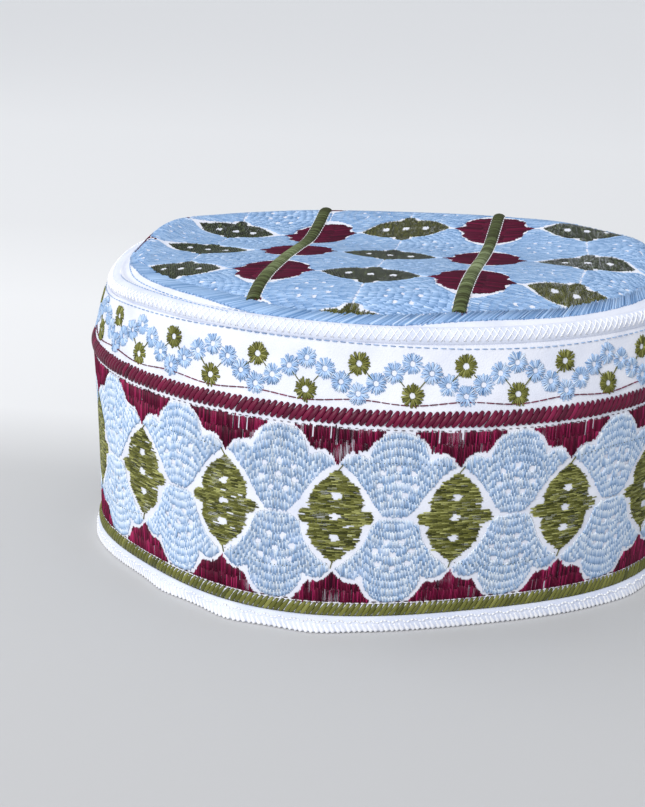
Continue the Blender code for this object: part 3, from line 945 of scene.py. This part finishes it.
# Half outlines, as on the band. A star is two wedges back to back.
CROWN_PETAL_EDGE = (
    (0.0, 27.5), (2.9, 27.4), (4.2, 24.4), (5.6, 22.8), (7.2, 21.1), (9.0, 19.4), (10.4, 18.6),
    (13.2, 18.2), (15.1, 17.6), (17.1, 16.5),
)
CROWN_STALK_EDGE = (
    (0.0, 0.0), (7.4, 0.0), (8.1, 2.2), (9.8, 3.1), (10.0, 3.9), (10.8, 6.7), (12.3, 9.0), (14.3, 11.3),
    (16.2, 13.0), (17.3, 14.2),
)
STAR = (
    (0.0, 14.4), (0.7, 13.6), (1.7, 12.0), (2.7, 11.0), (3.8, 10.4), (5.0, 10.6), (6.3, 11.0),
    (7.4, 10.8), (8.2, 9.4), (9.2, 8.6), (10.4, 8.0), (11.6, 6.6), (12.6, 4.2), (13.4, 1.8), (13.8, 0.4),
)
# How the cloth was pulled while it was sewn in: the shifts in x and in y of places on the crown.
# The first row holds the x of each column, and each row after it starts with its y.
CROWN_PULL_X = (
    (0.0, -95.0, -75.0, -50.0, -33.0, -10.0, 15.0, 33.0, 50.0, 72.0, 95.0),
    (-74.1, 0.0, 0.0, 0.0, 0.0, 0.0, 0.0, 0.0, 0.0, 0.0, 0.0),
    (-33.1, 1.5, 2.5, 1.0, 0.0, 0.0, 0.0, 0.5, 0.0, 0.0, 0.0),
    (8.0, 1.8, 1.8, 1.0, 0.7, 0.0, 0.0, 0.4, 0.8, 2.3, 2.5),
    (49.0, 7.0, 5.8, 4.7, 3.0, 0.0, -0.9, -1.1, -0.4, 0.0, 0.0),
    (90.0, 7.0, 5.8, 4.7, 3.0, 0.0, -0.9, -1.1, -0.4, 0.0, 0.0),
)
CROWN_PULL_Y = (
    (0.0, -95.0, -75.0, -50.0, -33.0, -10.0, 15.0, 33.0, 50.0, 72.0, 95.0),
    (-74.1, 0.0, 1.0, -6.0, -9.0, -2.4, -2.4, -9.0, -6.0, 0.0, -1.0),
    (-33.1, 3.0, 4.0, 3.4, 4.5, 3.0, -1.0, -1.4, -0.5, -2.6, -5.0),
    (8.0, -5.0, -4.0, -0.5, 0.5, 1.5, -2.0, -2.7, -3.5, -9.0, -15.0),
    (49.0, -18.0, -20.5, -16.5, -12.5, -3.0, 2.0, -1.1, 0.3, -8.0, -13.0),
    (90.0, -25.0, -24.0, -19.0, -14.0, -3.0, 2.0, -1.0, -2.0, -10.0, -14.0),
)
# The border. Columns: direction from the middle in degrees, distances of its outer and inner side
# from the crown's edge.
BORDER_PLACE = np.array((
    (-180.0, 0.2, 0.9), (-170.0, 1.7, 4.0), (-164.0, 3.0, 6.4), (-154.0, 3.4, 7.4), (-142.0, 3.6, 7.8),
    (-130.0, 3.0, 7.4), (-124.0, 1.9, 6.2), (-119.0, 1.0, 5.2), (-112.0, 0.2, 4.2), (-92.0, 0.0, 3.6),
    (-77.0, 0.4, 4.6), (-68.0, 1.5, 5.8), (-58.0, 2.6, 7.0), (-47.0, 3.1, 7.8), (-30.0, 3.0, 8.0),
    (-16.0, 2.7, 6.4), (0.0, 1.6, 5.0), (60.0, 1.0, 4.6), (120.0, 1.0, 4.6), (145.0, 0.2, 1.0),
    (180.0, 0.2, 0.9),
))


def border_side(angle, column):
    """Distance from the crown's edge of the border's outer (1) or inner (2) side."""
    direction = np.degrees(np.mod(angle + math.pi, 2.0 * math.pi) - math.pi)
    return np.interp(direction, BORDER_PLACE[:, 0], BORDER_PLACE[:, column])


def pulled(points):
    """Plan points after the pull of the cloth."""
    x, y = points.T
    shifts = []
    for table in (np.array(CROWN_PULL_X), np.array(CROWN_PULL_Y)):
        rows = np.stack([np.interp(x, table[0, 1:], line[1:]) for line in table[1:]], axis=1)
        shifts.append(curve_through(table[1:, 0], rows, y))
    return points + np.stack(shifts, axis=1)


def room_inside_border(points):
    """How far a plan point lies inside the border's inner side, in mm."""
    x, y = points.T
    return edge_distance(x, y) - border_side(np.arctan2(y, x), 2) + 0.5


def cut_at_border(flat):
    """Keeps the part of each stitch that lies inside the border."""
    starts, ends = pulled(flat[:, :2]), pulled(flat[:, 2:])
    first, last = room_inside_border(starts) > 0.0, room_inside_border(ends) > 0.0
    for outer, inner, crossing in ((starts, ends, ~first & last), (ends, starts, first & ~last)):
        kept, lost = inner[crossing].copy(), outer[crossing].copy()
        for _ in range(7):
            middle_point = 0.5 * (kept + lost)
            fine = room_inside_border(middle_point) > 0.0
            kept[fine] = middle_point[fine]
            lost[~fine] = middle_point[~fine]
        outer[crossing] = kept
    stays = (first | last) & (np.linalg.norm(ends - starts, axis=1) > 0.5)
    return np.concatenate([starts, ends], axis=1)[stays]


blue_parts, green_parts, bright_parts, maroon_parts = [], [], [], []
pod_tall = dict(zip(POD_COLUMNS, (0.97, 0.95, 1.1, 1.03, 0.97)))
BRIGHT_PODS = ((66.0, -33.1), (0.7, 49.0), (0.7, -74.1))
for row in POD_ROWS:
    for column in POD_COLUMNS:
        bright = (column, row) in BRIGHT_PODS
        pod_parts = bright_parts if bright else green_parts
        pod_parts.append(placed(pod(1.05, pod_tall[column]), (column, row), 1))
        for sign in (1.0, -1.0):
            head = flower_head(CROWN_WIDE, CROWN_TALL, CROWN_PETAL_EDGE, CROWN_STALK_EDGE)
            blue_parts.append(placed(head, (column + 0.4 * sign, row + 20.5), 0, sign, first=2))
    for column in STAR_COLUMNS:
        for sign in (1.0, -1.0):
            half_star = wedge(1.0, 1.0, STAR)
            maroon_parts.append(placed(half_star, (column - 0.15 * sign, row), 0, sign, first=2))
# Columns: name, pieces, finish, mean shade, spread, and how much lighter the end of each stitch is. Both
# carry painted light. The mean shades of the blue, maroon and bright green are lower than those of the same
# threads on the band: painted shade on the crown, which faces up into the light. The blue stitches are
# painted lighter at their end nearer the head's waist: painted light and shade of the raised rows of the
# petals.
for name, parts, finish, plain, spread, painted_lighter_end in (
    ("crown_blue", blue_parts, pale_blue_floss, 0.18, 0.14, 0.24),
    ("crown_green", green_parts, deep_olive_floss, 0.2, 0.22, 0.0),
    ("crown_bright_green", bright_parts, olive_floss, 0.16, 0.16, 0.0),
    ("crown_maroon", maroon_parts, maroon_floss, 0.2, 0.14, 0.0),
):
    flat = cut_at_border(np.concatenate(parts))
    tint = shades(len(flat), plain, spread)
    add_stitches(
        name, flat, lay_on_crown, finish, "crown_panel",
        width=thread_widths(len(flat)), high=0.32, shade=tint, shade_end=tint + painted_lighter_end,
    )

# %% [markdown]
# ## The border of the crown
# A close row of slanted satin stitch covers the raw edge of the embroidery. At the left it leaves a
# strip of bare cloth with two lines of running stitch. Directions round the crown and distances in
# from its edge are the natural measures here, so each stitch is drawn in those and then placed.


# %% Border and running stitch of the crown
def rim_to_plan(angle, inward):
    reach = reach_at(angle) - inward
    return np.stack([reach * np.cos(angle), reach * np.sin(angle)], axis=1)


def round_angles(count):
    return -math.pi + 2.0 * math.pi * np.arange(count) / count


border_count = 860
border_angle = round_angles(border_count)
outer_side = border_side(border_angle, 1) + chance.normal(0.0, 0.12, border_count)
inner_side = border_side(border_angle, 2) + chance.normal(0.4, 0.3, border_count)
lean = 0.019 * (inner_side - outer_side) + chance.normal(0.0, 0.002, border_count)
flat = np.hstack([rim_to_plan(border_angle, outer_side), rim_to_plan(border_angle + lean, inner_side)])
add_stitches(
    "crown_border", flat, lay_on_crown, pale_blue_floss, "crown_panel",
    width=0.72, high=0.55, shade=shades(border_count, 0.26, 0.15),
)
hole_count = 290
hole_angle = round_angles(hole_count)
hole_at = border_side(hole_angle, 1) - 0.15
flat = np.hstack([rim_to_plan(hole_angle, hole_at), rim_to_plan(hole_angle + 0.006, hole_at + 0.9)])
add_stitches(
    "crown_border_edge", flat, lay_on_crown, pale_blue_floss, "crown_panel",
    width=0.5, high=0.5, shade=shades(hole_count, 0.06, 0.05),
)
# The bare strip. Columns: direction in degrees, how far in the crown's line of running stitch lies,
# and how far over the seam its own line lies, in degrees.
STRIP_DIRECTION, STRIP_INWARD, STRIP_OVER = np.array((
    (-196.0, 0.4, 112.0), (-165.0, 1.6, 108.0), (-148.0, 1.4, 102.0), (-130.0, 0.2, 86.0),
    (-114.0, -1.5, 66.0),
)).T


def add_dashes(name, line, lay, finish, slot, length, gap, width, high, shade, spread=0.1):
    """Running stitch along a flat line as one piece. Shade is its mean and spread how far it varies."""
    flat = dashes(line, length, gap)
    tint = shades(len(flat), shade, spread)
    add_stitches(name, flat, lay, finish, slot, width=width, high=high, shade=tint)


strip_angle = np.linspace(STRIP_DIRECTION[0], -112.0, 300)
strip_line = rim_to_plan(np.radians(strip_angle), np.interp(strip_angle, STRIP_DIRECTION, STRIP_INWARD))
add_dashes(
    "crown_running_stitch", strip_line, lay_on_crown, pale_blue_floss, "crown_panel",
    length=2.1, gap=0.3, width=0.4, high=0.3, shade=0.2,
)

# %% [markdown]
# ## Stitches that climb over something
# Rope stitches, ribs and the crossed stitches on the seam lie over a cord, so a straight grain would
# cut through it. Here a stitch is carried along several stations of its line with a half-round
# section, and its ends are closed to a point in the cloth.

# %% Arched stitches
# The section of a thread: shares of its width across, shares of its height up.
HALF_ROUND = np.array(((-0.5, -0.15), (-0.4, 0.6), (0.0, 1.0), (0.4, 0.6), (0.5, -0.15)))
# How far the closed tips reach past the ends, and how deep they lie in the cloth, in mm.
TIP_REACH, TIP_SUNK = 0.25, 0.15


def arched_mesh(name, flat, outs, lay, width, high, shade, taper):
    """Flat holds the stations of every stitch, outs how far each stands off the cloth below it."""
    count, stations, _ = flat.shape
    along = np.gradient(flat, axis=1)
    along /= np.linalg.norm(along, axis=2, keepdims=True)
    side = np.stack([-along[..., 1], along[..., 0]], axis=2)
    sides = len(HALF_ROUND)
    across, upward = HALF_ROUND.T
    slim = np.sin(math.pi * np.linspace(0.14, 0.86, stations)) ** taper
    breadth = width * slim[:, None] * across[None, :]
    body = flat[:, :, None, :] + side[:, :, None, :] * breadth[None, :, :, None]
    lifted = outs[:, :, None] + high * upward[None, None, :]
    tips = [flat[:, 0] - along[:, 0] * TIP_REACH, flat[:, -1] + along[:, -1] * TIP_REACH]
    tips = np.stack(tips, axis=1)
    tip_outs = outs[:, (0, -1)] - TIP_SUNK
    plane = np.concatenate([body.reshape(count, -1, 2), tips], axis=1)
    off = np.concatenate([lifted.reshape(count, -1), tip_outs], axis=1)
    places = lay(plane.reshape(-1, 2), off.reshape(-1))
    faces = []
    for station in range(stations - 1):
        for corner in range(sides):
            a, b = station * sides + corner, station * sides + (corner + 1) % sides
            faces += [(a, a + sides, b), (b, a + sides, b + sides)]
    last = (stations - 1) * sides
    for corner in range(sides):
        after = (corner + 1) % sides
        faces += [(corner, after, stations * sides), (last + after, last + corner, stations * sides + 1)]
    each = stations * sides + 2
    faces = (np.array(faces)[None] + each * np.arange(count)[:, None, None]).reshape(-1, 3)
    data = thread_mesh(name, places, faces, np.repeat(np.broadcast_to(shade, (count,)), each))
    bm = bmesh.new()
    bm.from_mesh(data)
    bmesh.ops.recalc_face_normals(bm, faces=bm.faces[:])
    bm.to_mesh(data)
    bm.free()
    return data


def straight_stations(starts, ends, stations):
    part = np.linspace(0.0, 1.0, stations)[None, :, None]
    return starts[:, None, :] * (1.0 - part) + ends[:, None, :] * part


def add_arched(name, flat, outs, lay, finish, slot, *nodes_replaced, width, high, shade, taper=0.15):
    data = arched_mesh(name, flat, outs, lay, width, high, shade, taper)
    print(name, "stitches:", len(flat), "faces:", len(data.polygons))
    add_piece(name, data, finish, slot, *nodes_replaced)


# %% [markdown]
# ## Rope stitches over the joins
# Over the hem and over the join of the two bands the embroiderer worked a thick rope: close slanted
# stitches over a cord. A smooth oval ring of white cloth makes the core, and the stitches arch over
# it from its lower side to its upper side.


# %% Rope cores and their stitches
CORE_SIDES = 12
# How a rope's stitch climbs over the core: shares of the bulge at its six stations.
OVER_CORE = np.array((0.1, 0.75, 1.0, 1.0, 0.75, 0.1))


def rope_core(rope, height, out, thick, tall):
    def place(share, row):
        angle = 2.0 * math.pi * row / CORE_SIDES
        return wall_point(share, height + 0.5 * tall * np.sin(angle), out + 0.5 * thick * np.cos(angle))

    core = bent_grid(f"{rope}_core", COLUMNS_ROUND, CORE_SIDES, place, wrap_rows=True)
    add_piece(f"{rope}_core", core, white_cotton, rope, rope)


def rope_stitches(rope, height, out, tall, pitch, slant, bulge, width, finish):
    count = int(round(ROUND / pitch))
    middle_at = np.arange(count) * ROUND / count
    wobble = chance.normal(0.0, 0.07, (count, 4))
    starts = np.stack([middle_at - slant / 2 + wobble[:, 0], height - tall / 2 + wobble[:, 1]], axis=1)
    ends = np.stack([middle_at + slant / 2 + wobble[:, 2], height + tall / 2 + wobble[:, 3]], axis=1)
    flat = straight_stations(starts, ends, len(OVER_CORE))
    outs = np.tile(out + bulge * OVER_CORE, (count, 1))
    add_arched(
        f"{rope}_stitches", flat, outs, lay_on_wall, finish, rope,
        width=width, high=0.45, shade=shades(count, 0.34, 0.1), taper=0.55,
    )


# Core: distance out, thickness and height. Stitches: distance out, height, distance from stitch to
# stitch, slant, bulge and width.
for rope, height, core, stitches, finish in (
    ("maroon_rope", MAROON_ROPE_HEIGHT, (-0.45, 1.5, 4.3), (0.0, 4.5, 1.95, 3.3, 0.45, 1.75), maroon_floss),
    ("green_rope", GREEN_ROPE_HEIGHT, (0.3, 1.0, 3.4), (0.3, 3.9, 1.7, 2.7, 0.5, 1.52), olive_floss),
):
    rope_core(rope, height, *core)
    rope_stitches(rope, height, *stitches, finish)

# %% [markdown]
# ## The padded ribs
# Two ribs run over the crown from front to back. Each is a cord covered with satin stitch, so
# each stitch crosses it from one side to the other. The pattern plane is wrapped round the rib's
# dome: one measure goes across the dome and the other along the rib.

# %% Ribs
# The lines of the ribs in plan, as pairs of y and x.
RIB_LINES = {
    "left": ((-64.0, -30.4), (-52.0, -31.1), (-36.0, -31.9), (-10.0, -32.4), (70.0, -32.4)),
    "right": ((-64.0, 32.6), (70.0, 32.8)),
}
RIB_WIDTH = 3.4
RIB_TALL = 0.9
# The breadth of the pattern plane that is wrapped over the dome.
RIB_ARC = 4.0
RIB_STEP = 0.58
RIB_STATIONS = 7


def rib_line(side, y):
    place_y, place_x = np.array(RIB_LINES[side]).T
    return np.interp(y, place_y, place_x)


def rib_layer(side):
    """A function that lays a flat pattern over the dome of one rib."""

    def lay(points, out):
        across, y = points.T
        x = rib_line(side, y)
        angle = math.pi * (0.5 - across / RIB_ARC)
        sides = [crown_height(x + shift, y) for shift in (-0.5 * RIB_WIDTH, 0.0, 0.5 * RIB_WIDTH)]
        base = np.max(sides, axis=0) + 0.1
        spread = 0.5 * RIB_WIDTH + out
        height = base + (RIB_TALL + out) * np.sin(angle) - 0.1
        return np.stack([x + spread * np.cos(angle), y, height], axis=1)

    return lay


def rib_core(side, front, back, lay):
    """The cord inside a rib, just below its threads."""
    core_y = np.linspace(front - 0.2, back + 0.2, 90)
    core_a = np.linspace(-0.52, 0.52, 9) * RIB_ARC
    grid_y, grid_a = np.meshgrid(core_y, core_a, indexing="ij")
    dome = lay(np.stack([grid_a.ravel(), grid_y.ravel()], axis=1), np.full(grid_a.size, -0.15))
    corner = np.arange(grid_a.size).reshape(grid_a.shape)
    after = np.roll(corner, -1, axis=1)
    quads = np.stack([corner[:-1], after[:-1], after[1:], corner[1:]], axis=-1).reshape(-1, 4).tolist()
    quads += [corner[0, ::-1].tolist(), corner[-1].tolist()]
    core = bpy.data.meshes.new(f"crown_rib_{side}_core")
    core.from_pydata((dome * MM).tolist(), [], quads)
    add_piece(f"crown_rib_{side}_core", core, rib_floss, f"crown_rib_{side}")


for side in RIB_LINES:
    rib = f"crown_rib_{side}"
    low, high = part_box(rib)
    front, back = low.y / MM + 0.3, high.y / MM - 0.3
    lay = rib_layer(side)
    ribs = np.arange(front, back, RIB_STEP)
    count = len(ribs)
    edge = 0.5 * RIB_ARC + chance.normal(0.0, 0.1, count)
    slope = 0.55 + chance.normal(0.0, 0.12, count)
    starts = np.stack([-edge, ribs - slope], axis=1)
    ends = np.stack([edge, ribs + slope], axis=1)
    flat = straight_stations(starts, ends, RIB_STATIONS)
    along_rib = (ribs - front) / (back - front)
    tint = 0.14 + 0.5 * np.sin(math.pi * np.clip(along_rib * 1.2, 0.0, 1.0)) ** 2
    tint = np.clip(tint + chance.normal(0.0, 0.2, count), 0.02, 0.95)
    outs = np.repeat(chance.uniform(0.0, 0.15, (count, 1)), RIB_STATIONS, axis=1)
    add_arched(f"{rib}_threads", flat, outs, lay, rib_floss, rib, rib, width=0.5, high=0.42, shade=tint)
    rib_core(side, front, back, lay)
    # Beside the rib: a white edge and a maroon running stitch, each on both sides.
    beside_y = np.linspace(front + 1.0, back - 1.0, 200)
    for number, offset in enumerate((-1.0, 1.0)):
        for label, apart, length, gap, width, plain, finish in (
            ("edge", 2.2, 2.0, 0.3, 0.75, 0.6, white_floss),
            ("dash", 1.9, 0.9, 1.3, 0.4, 0.1, maroon_floss),
        ):
            line = np.stack([rib_line(side, beside_y) + offset * apart, beside_y], axis=1)
            label = f"{rib}_{label}_{number + 1}"
            add_dashes(label, line, lay_on_crown, finish, rib, length, gap, width, high=0.5, shade=plain)
    # Four short stitches tie the front end down.
    tie_x = rib_line(side, front) + np.array((-2.1, -1.0, 0.7, 2.0))
    tie_y = front + np.array((1.6, 0.7, 0.6, 1.3))
    tie = np.stack([tie_x, tie_y, tie_x + 0.5, tie_y - 1.6], axis=1)
    add_stitches(f"{rib}_tie", tie, lay_on_crown, maroon_floss, rib, width=0.6, high=0.6, shade=0.35)

# %% [markdown]
# ## The chain of the upper band
# The upper band carries a chain of small worked eyelets. Each is a wheel of stitches from a
# little hole outwards. Pale blue ones climb and fall in a wave, and an olive one hangs by two thin
# threads over each trough and under each peak. Eighteen waves go round the cap.

# %% Worked eyelets and their threads
WAVES_ROUND = 18
FIRST_UPPER_RING = 0.594
wave_length = ROUND / WAVES_ROUND
# Places along one wave. Columns: share of the wave, height.
BLUE_EYELETS = ((0.0, 84.1), (0.18, 81.4), (0.335, 78.0), (0.5, 74.9), (0.665, 78.1), (0.83, 81.3))
LOWER_RING_HEIGHT = 75.0
UPPER_RING_HEIGHT = 83.5
# A worked eyelet: radius of its hole, its own radius, number of stitches.
BLUE_WHEEL = (0.7, 3.35, 29)
OLIVE_WHEEL = (0.8, 3.6, 30)


def wheel(across, height, inner, outer, spokes):
    """Stitches of one worked eyelet, from its hole outwards."""
    angle = 2.0 * math.pi * (np.arange(spokes) + 0.5 * chance.random()) / spokes
    angle = angle + chance.normal(0.0, 0.05, spokes)
    from_hole = inner + chance.normal(0.0, 0.05, spokes)
    reach = outer + chance.normal(0.0, 0.2, spokes)
    ray = np.stack([np.cos(angle), np.sin(angle)], axis=1)
    hole = np.array((across, height))
    return np.hstack([hole + ray * reach[:, None], hole + ray * from_hole[:, None]])


blue_parts, green_parts, stem_parts = [], [], []
for wave in range(WAVES_ROUND):
    ring_at = (FIRST_UPPER_RING + wave / WAVES_ROUND) * ROUND
    peak_at = ring_at + 0.5 * wave_length
    for share_of_wave, height in BLUE_EYELETS:
        blue_parts.append(wheel(peak_at + share_of_wave * wave_length, height, *BLUE_WHEEL))
    green_parts.append(wheel(ring_at, UPPER_RING_HEIGHT, *OLIVE_WHEEL))
    green_parts.append(wheel(peak_at, LOWER_RING_HEIGHT, *OLIVE_WHEEL))
    for sign in (-1.0, 1.0):
        for across, height, down, drop in (
            (ring_at, UPPER_RING_HEIGHT, -1.0, 4.6), (peak_at, LOWER_RING_HEIGHT, 1.0, 4.8),
        ):
            near = (across + sign * 2.2, height + down * 2.3)
            stem_parts.append((*near, across + sign * 4.4, height + down * drop))
for name, parts, width, plain, finish in (
    ("upper_band_blue_eyelets", blue_parts, 0.6, 0.5, pale_blue_floss),
    ("upper_band_green_eyelets", green_parts, 0.66, 0.45, olive_floss),
):
    flat = np.concatenate(parts)
    add_stitches(
        name, flat, lay_on_wall, finish, "upper_band",
        width=width, high=0.42, shade=shades(len(flat), plain, 0.15),
    )
add_stitches(
    "upper_band_stems", np.array(stem_parts), lay_on_wall, olive_floss, "upper_band",
    width=0.35, high=0.3, shade=0.3,
)

# %% Lines of running stitch round the wall
round_places = np.linspace(0.0, ROUND, 1500)
waves_travelled = round_places / wave_length - FIRST_UPPER_RING * WAVES_ROUND + 0.25
waving = 72.7 + 0.55 * np.sin(2.0 * math.pi * waves_travelled)
# Height of the pale blue line: share of the way round, height.
BLUE_LINE = (
    (0.0, 88.0), (0.3, 88.2), (0.48, 87.6), (0.54, 87.7), (0.6, 88.6), (0.646, 89.0), (0.69, 89.6),
    (0.75, 89.4), (0.816, 88.4), (0.86, 88.0), (0.926, 88.4), (1.0, 88.0),
)
blue_heights = np.interp(round_places / ROUND, *np.array(BLUE_LINE).T)
# Columns: band, rest of the name, height, stitch length, gap, width, shade, finish.
for slot, label, heights, length, gap, width, plain, finish in (
    ("upper_band", "maroon_line", waving, 3.0, -0.15, 0.38, 0.4, maroon_floss),
    ("upper_band", "blue_line", blue_heights, 2.1, 0.45, 0.28, 0.22, pale_blue_floss),
    ("lower_band", "seam_line", SEAM_LINE + 0.35, 1.4, 0.9, 0.2, 0.02, maroon_floss),
    ("lower_band", "hem_line", HEM_LINE - 0.1, 2.4, -0.2, 0.45, 0.8, white_floss),
    ("lower_band", "hem_dark_line", HEM_LINE + 0.35, 1.9, 0.6, 0.24, 0.0, maroon_floss),
):
    line = np.stack([round_places, np.broadcast_to(heights, round_places.shape)], axis=1)
    name = f"{slot}_{label}"
    add_dashes(name, line, lay_on_wall, finish, slot, length, gap, width, high=0.36, shade=plain)

# %% [markdown]
# ## White stitches on the seam and the hem
# The padded seam is held by crossed white stitches all the way round, and the hem is overcast with
# slanted white ones, with a wavy line above them. White on white still shows, because each
# thread throws a small shadow.


# %% Crossed stitches on the seam, overcast stitches on the hem
def lay_on_roll(points, out):
    """Pattern plane of the seam: millimetres round, and degrees over it from its outermost line."""
    return roll_point(points[:, 0] / ROUND, np.radians(points[:, 1]), out)


cross_count = 256
cross_at = np.arange(cross_count) * ROUND / cross_count
cross_wobble = chance.normal(0.0, 0.15, (4, cross_count))
# How far over the seam the crosses reach, in degrees: less far at the left end.
CROSS_REACH = ((0.0, 66.0), (0.45, 66.0), (0.5, 50.0), (0.65, 50.0), (0.71, 66.0), (1.0, 66.0))
CROSS_FOOT, CROSS_LEAN, CROSS_STATIONS = -16.0, 2.9, 7
cross_top = np.interp(cross_at / ROUND, *np.array(CROSS_REACH).T) + 18.0 * cross_wobble[2]
cross_foot = CROSS_FOOT + 10.0 * cross_wobble[3]
for number, lean_over in enumerate((CROSS_LEAN, -CROSS_LEAN)):
    starts = np.stack([cross_at - lean_over / 2 + cross_wobble[number], cross_foot], axis=1)
    ends = np.stack([cross_at + lean_over / 2 + cross_wobble[number], cross_top], axis=1)
    flat = straight_stations(starts, ends, CROSS_STATIONS)
    add_arched(
        f"seam_cross_stitches_{number + 1}", flat, np.zeros(flat.shape[:2]), lay_on_roll, white_floss,
        "seam_roll", width=0.4, high=0.36, shade=shades(cross_count, 0.8, 0.08),
    )
strip_angle = np.linspace(STRIP_DIRECTION[0], STRIP_DIRECTION[-1], 300)
strip_over = np.interp(strip_angle, STRIP_DIRECTION, STRIP_OVER)
strip_line = np.stack([np.mod(strip_angle, 360.0) / 360.0 * ROUND, strip_over], axis=1)
add_dashes(
    "seam_running_stitch", strip_line, lay_on_roll, pale_blue_floss, "seam_roll",
    length=2.1, gap=0.3, width=0.4, high=0.28, shade=0.2,
)
# The hem's outer face stands this far out from the band's. A wavy line runs round it.
HEM_FACE = 1.3
OVERCAST_TOP, OVERCAST_FOOT, OVERCAST_SLANT = 2.7, 0.35, 1.3
HEM_LINE_HEIGHT, HEM_LINE_SWING, HEM_LINE_WAVES = 3.5, 0.55, 127


def lay_on_hem(points, out):
    share = points[:, 0] / ROUND
    return wall_point(share, points[:, 1], HEM_FACE + out + hem_flare(share, points[:, 1]))


over_count = 356
over_at = np.arange(over_count) * ROUND / over_count + chance.normal(0.0, 0.1, over_count)
starts = np.stack([over_at, OVERCAST_TOP + chance.normal(0.0, 0.12, over_count)], axis=1)
ends = np.stack([over_at + OVERCAST_SLANT, np.full(over_count, OVERCAST_FOOT)], axis=1)
flat = straight_stations(starts, ends, 5)
add_arched(
    "hem_overcast_stitches", flat, np.full(flat.shape[:2], -0.1), lay_on_hem, white_floss, "hem",
    width=1.35, high=0.34, shade=shades(over_count, 0.68, 0.12),
)
swing = HEM_LINE_SWING * np.sin(2.0 * math.pi * HEM_LINE_WAVES * round_places / ROUND)
wavy = np.stack([round_places, HEM_LINE_HEIGHT + swing], axis=1)
add_dashes(
    "hem_wavy_line", wavy, lay_on_hem, white_floss, "hem",
    length=1.5, gap=-0.15, width=0.6, high=0.6, shade=0.95, spread=0.04,
)

# %% [markdown]
# ## The floor and the light
# The photograph was taken in soft, even light on a pale ground. A large plane stands for the ground,
# with a faint gradient of painted light and shade: darker in front of the cap, paler behind it. One
# broad lamp comes from above in front, a second fills the left, and the pale surroundings do the rest.

# %% Floor and lamps
FLOOR_HALF = 6.0
# Painted light and shade on the ground, by share of the depth behind the cap: darkest in front of the cap
# and under it, paler behind it.
GROUND_PAINTED_LIGHT = ((0.08, 0.575), (0.105, 0.81), (0.17, 0.87), (0.24, 0.83), (0.4, 0.9), (1.0, 0.93))
floor_mesh = bpy.data.meshes.new("floor")
floor_bm = bmesh.new()
bmesh.ops.create_grid(floor_bm, x_segments=1, y_segments=1, size=FLOOR_HALF)
floor_bm.to_mesh(floor_mesh)
floor_bm.free()
floor = bpy.data.objects.new("floor", floor_mesh)
bpy.context.scene.collection.objects.link(floor)
ground, ground_nodes, ground_links, ground_shader = new_material("pale_ground")
floor_place = new_node(ground_nodes, "TexCoord")
floor_axes = new_node(ground_nodes, "SeparateXYZ")
depth = new_node(ground_nodes, "MapRange", {"From Min": -0.2, "From Max": 2.6})
further_back = [(share, (tone, tone, tone)) for share, tone in GROUND_PAINTED_LIGHT]
painted_light_of_depth = colour_ramp(ground_nodes, (0.0, (0.50, 0.50, 0.505)), *further_back)
ground_links.new(floor_place.outputs["Object"], floor_axes.inputs["Vector"])
ground_links.new(floor_axes.outputs["Y"], depth.inputs["Value"])
ground_links.new(depth.outputs["Result"], painted_light_of_depth.inputs["Fac"])
ground_links.new(painted_light_of_depth.outputs["Color"], ground_shader.inputs["Base Color"])
set_inputs(ground_shader, {"Roughness": 0.9})
floor_mesh.materials.append(ground)


# The lamps point at a place half way up the cap.
LAMPS_AIM = Vector((0.0, 0.0, 0.05))


def soft_lamp(name, place, size, power, colour):
    lamp_data = bpy.data.lights.new(name, "AREA")
    lamp_data.shape = "SQUARE"
    lamp_data.size = size
    lamp_data.energy = power
    lamp_data.color = colour
    lamp = bpy.data.objects.new(name, lamp_data)
    bpy.context.scene.collection.objects.link(lamp)
    lamp.location = place
    aim = LAMPS_AIM - Vector(place)
    lamp.rotation_euler = aim.to_track_quat("-Z", "Y").to_euler()


soft_lamp("soft_lamp_front", (-0.4, -1.2, 0.8), size=0.6, power=12.8, colour=(1.0, 0.99, 0.97))
soft_lamp("soft_lamp_left", (-1.2, 0.1, 0.8), size=0.9, power=3.0, colour=(0.95, 0.97, 1.0))
surroundings = bpy.data.worlds.new("pale_surroundings")
surroundings.use_nodes = True
sky = surroundings.node_tree.nodes["Background"]
set_inputs(sky, {"Color": (0.93, 0.955, 1.0, 1.0), "Strength": 0.79})
bpy.context.scene.world = surroundings
bpy.context.scene.view_settings.view_transform = "Standard"
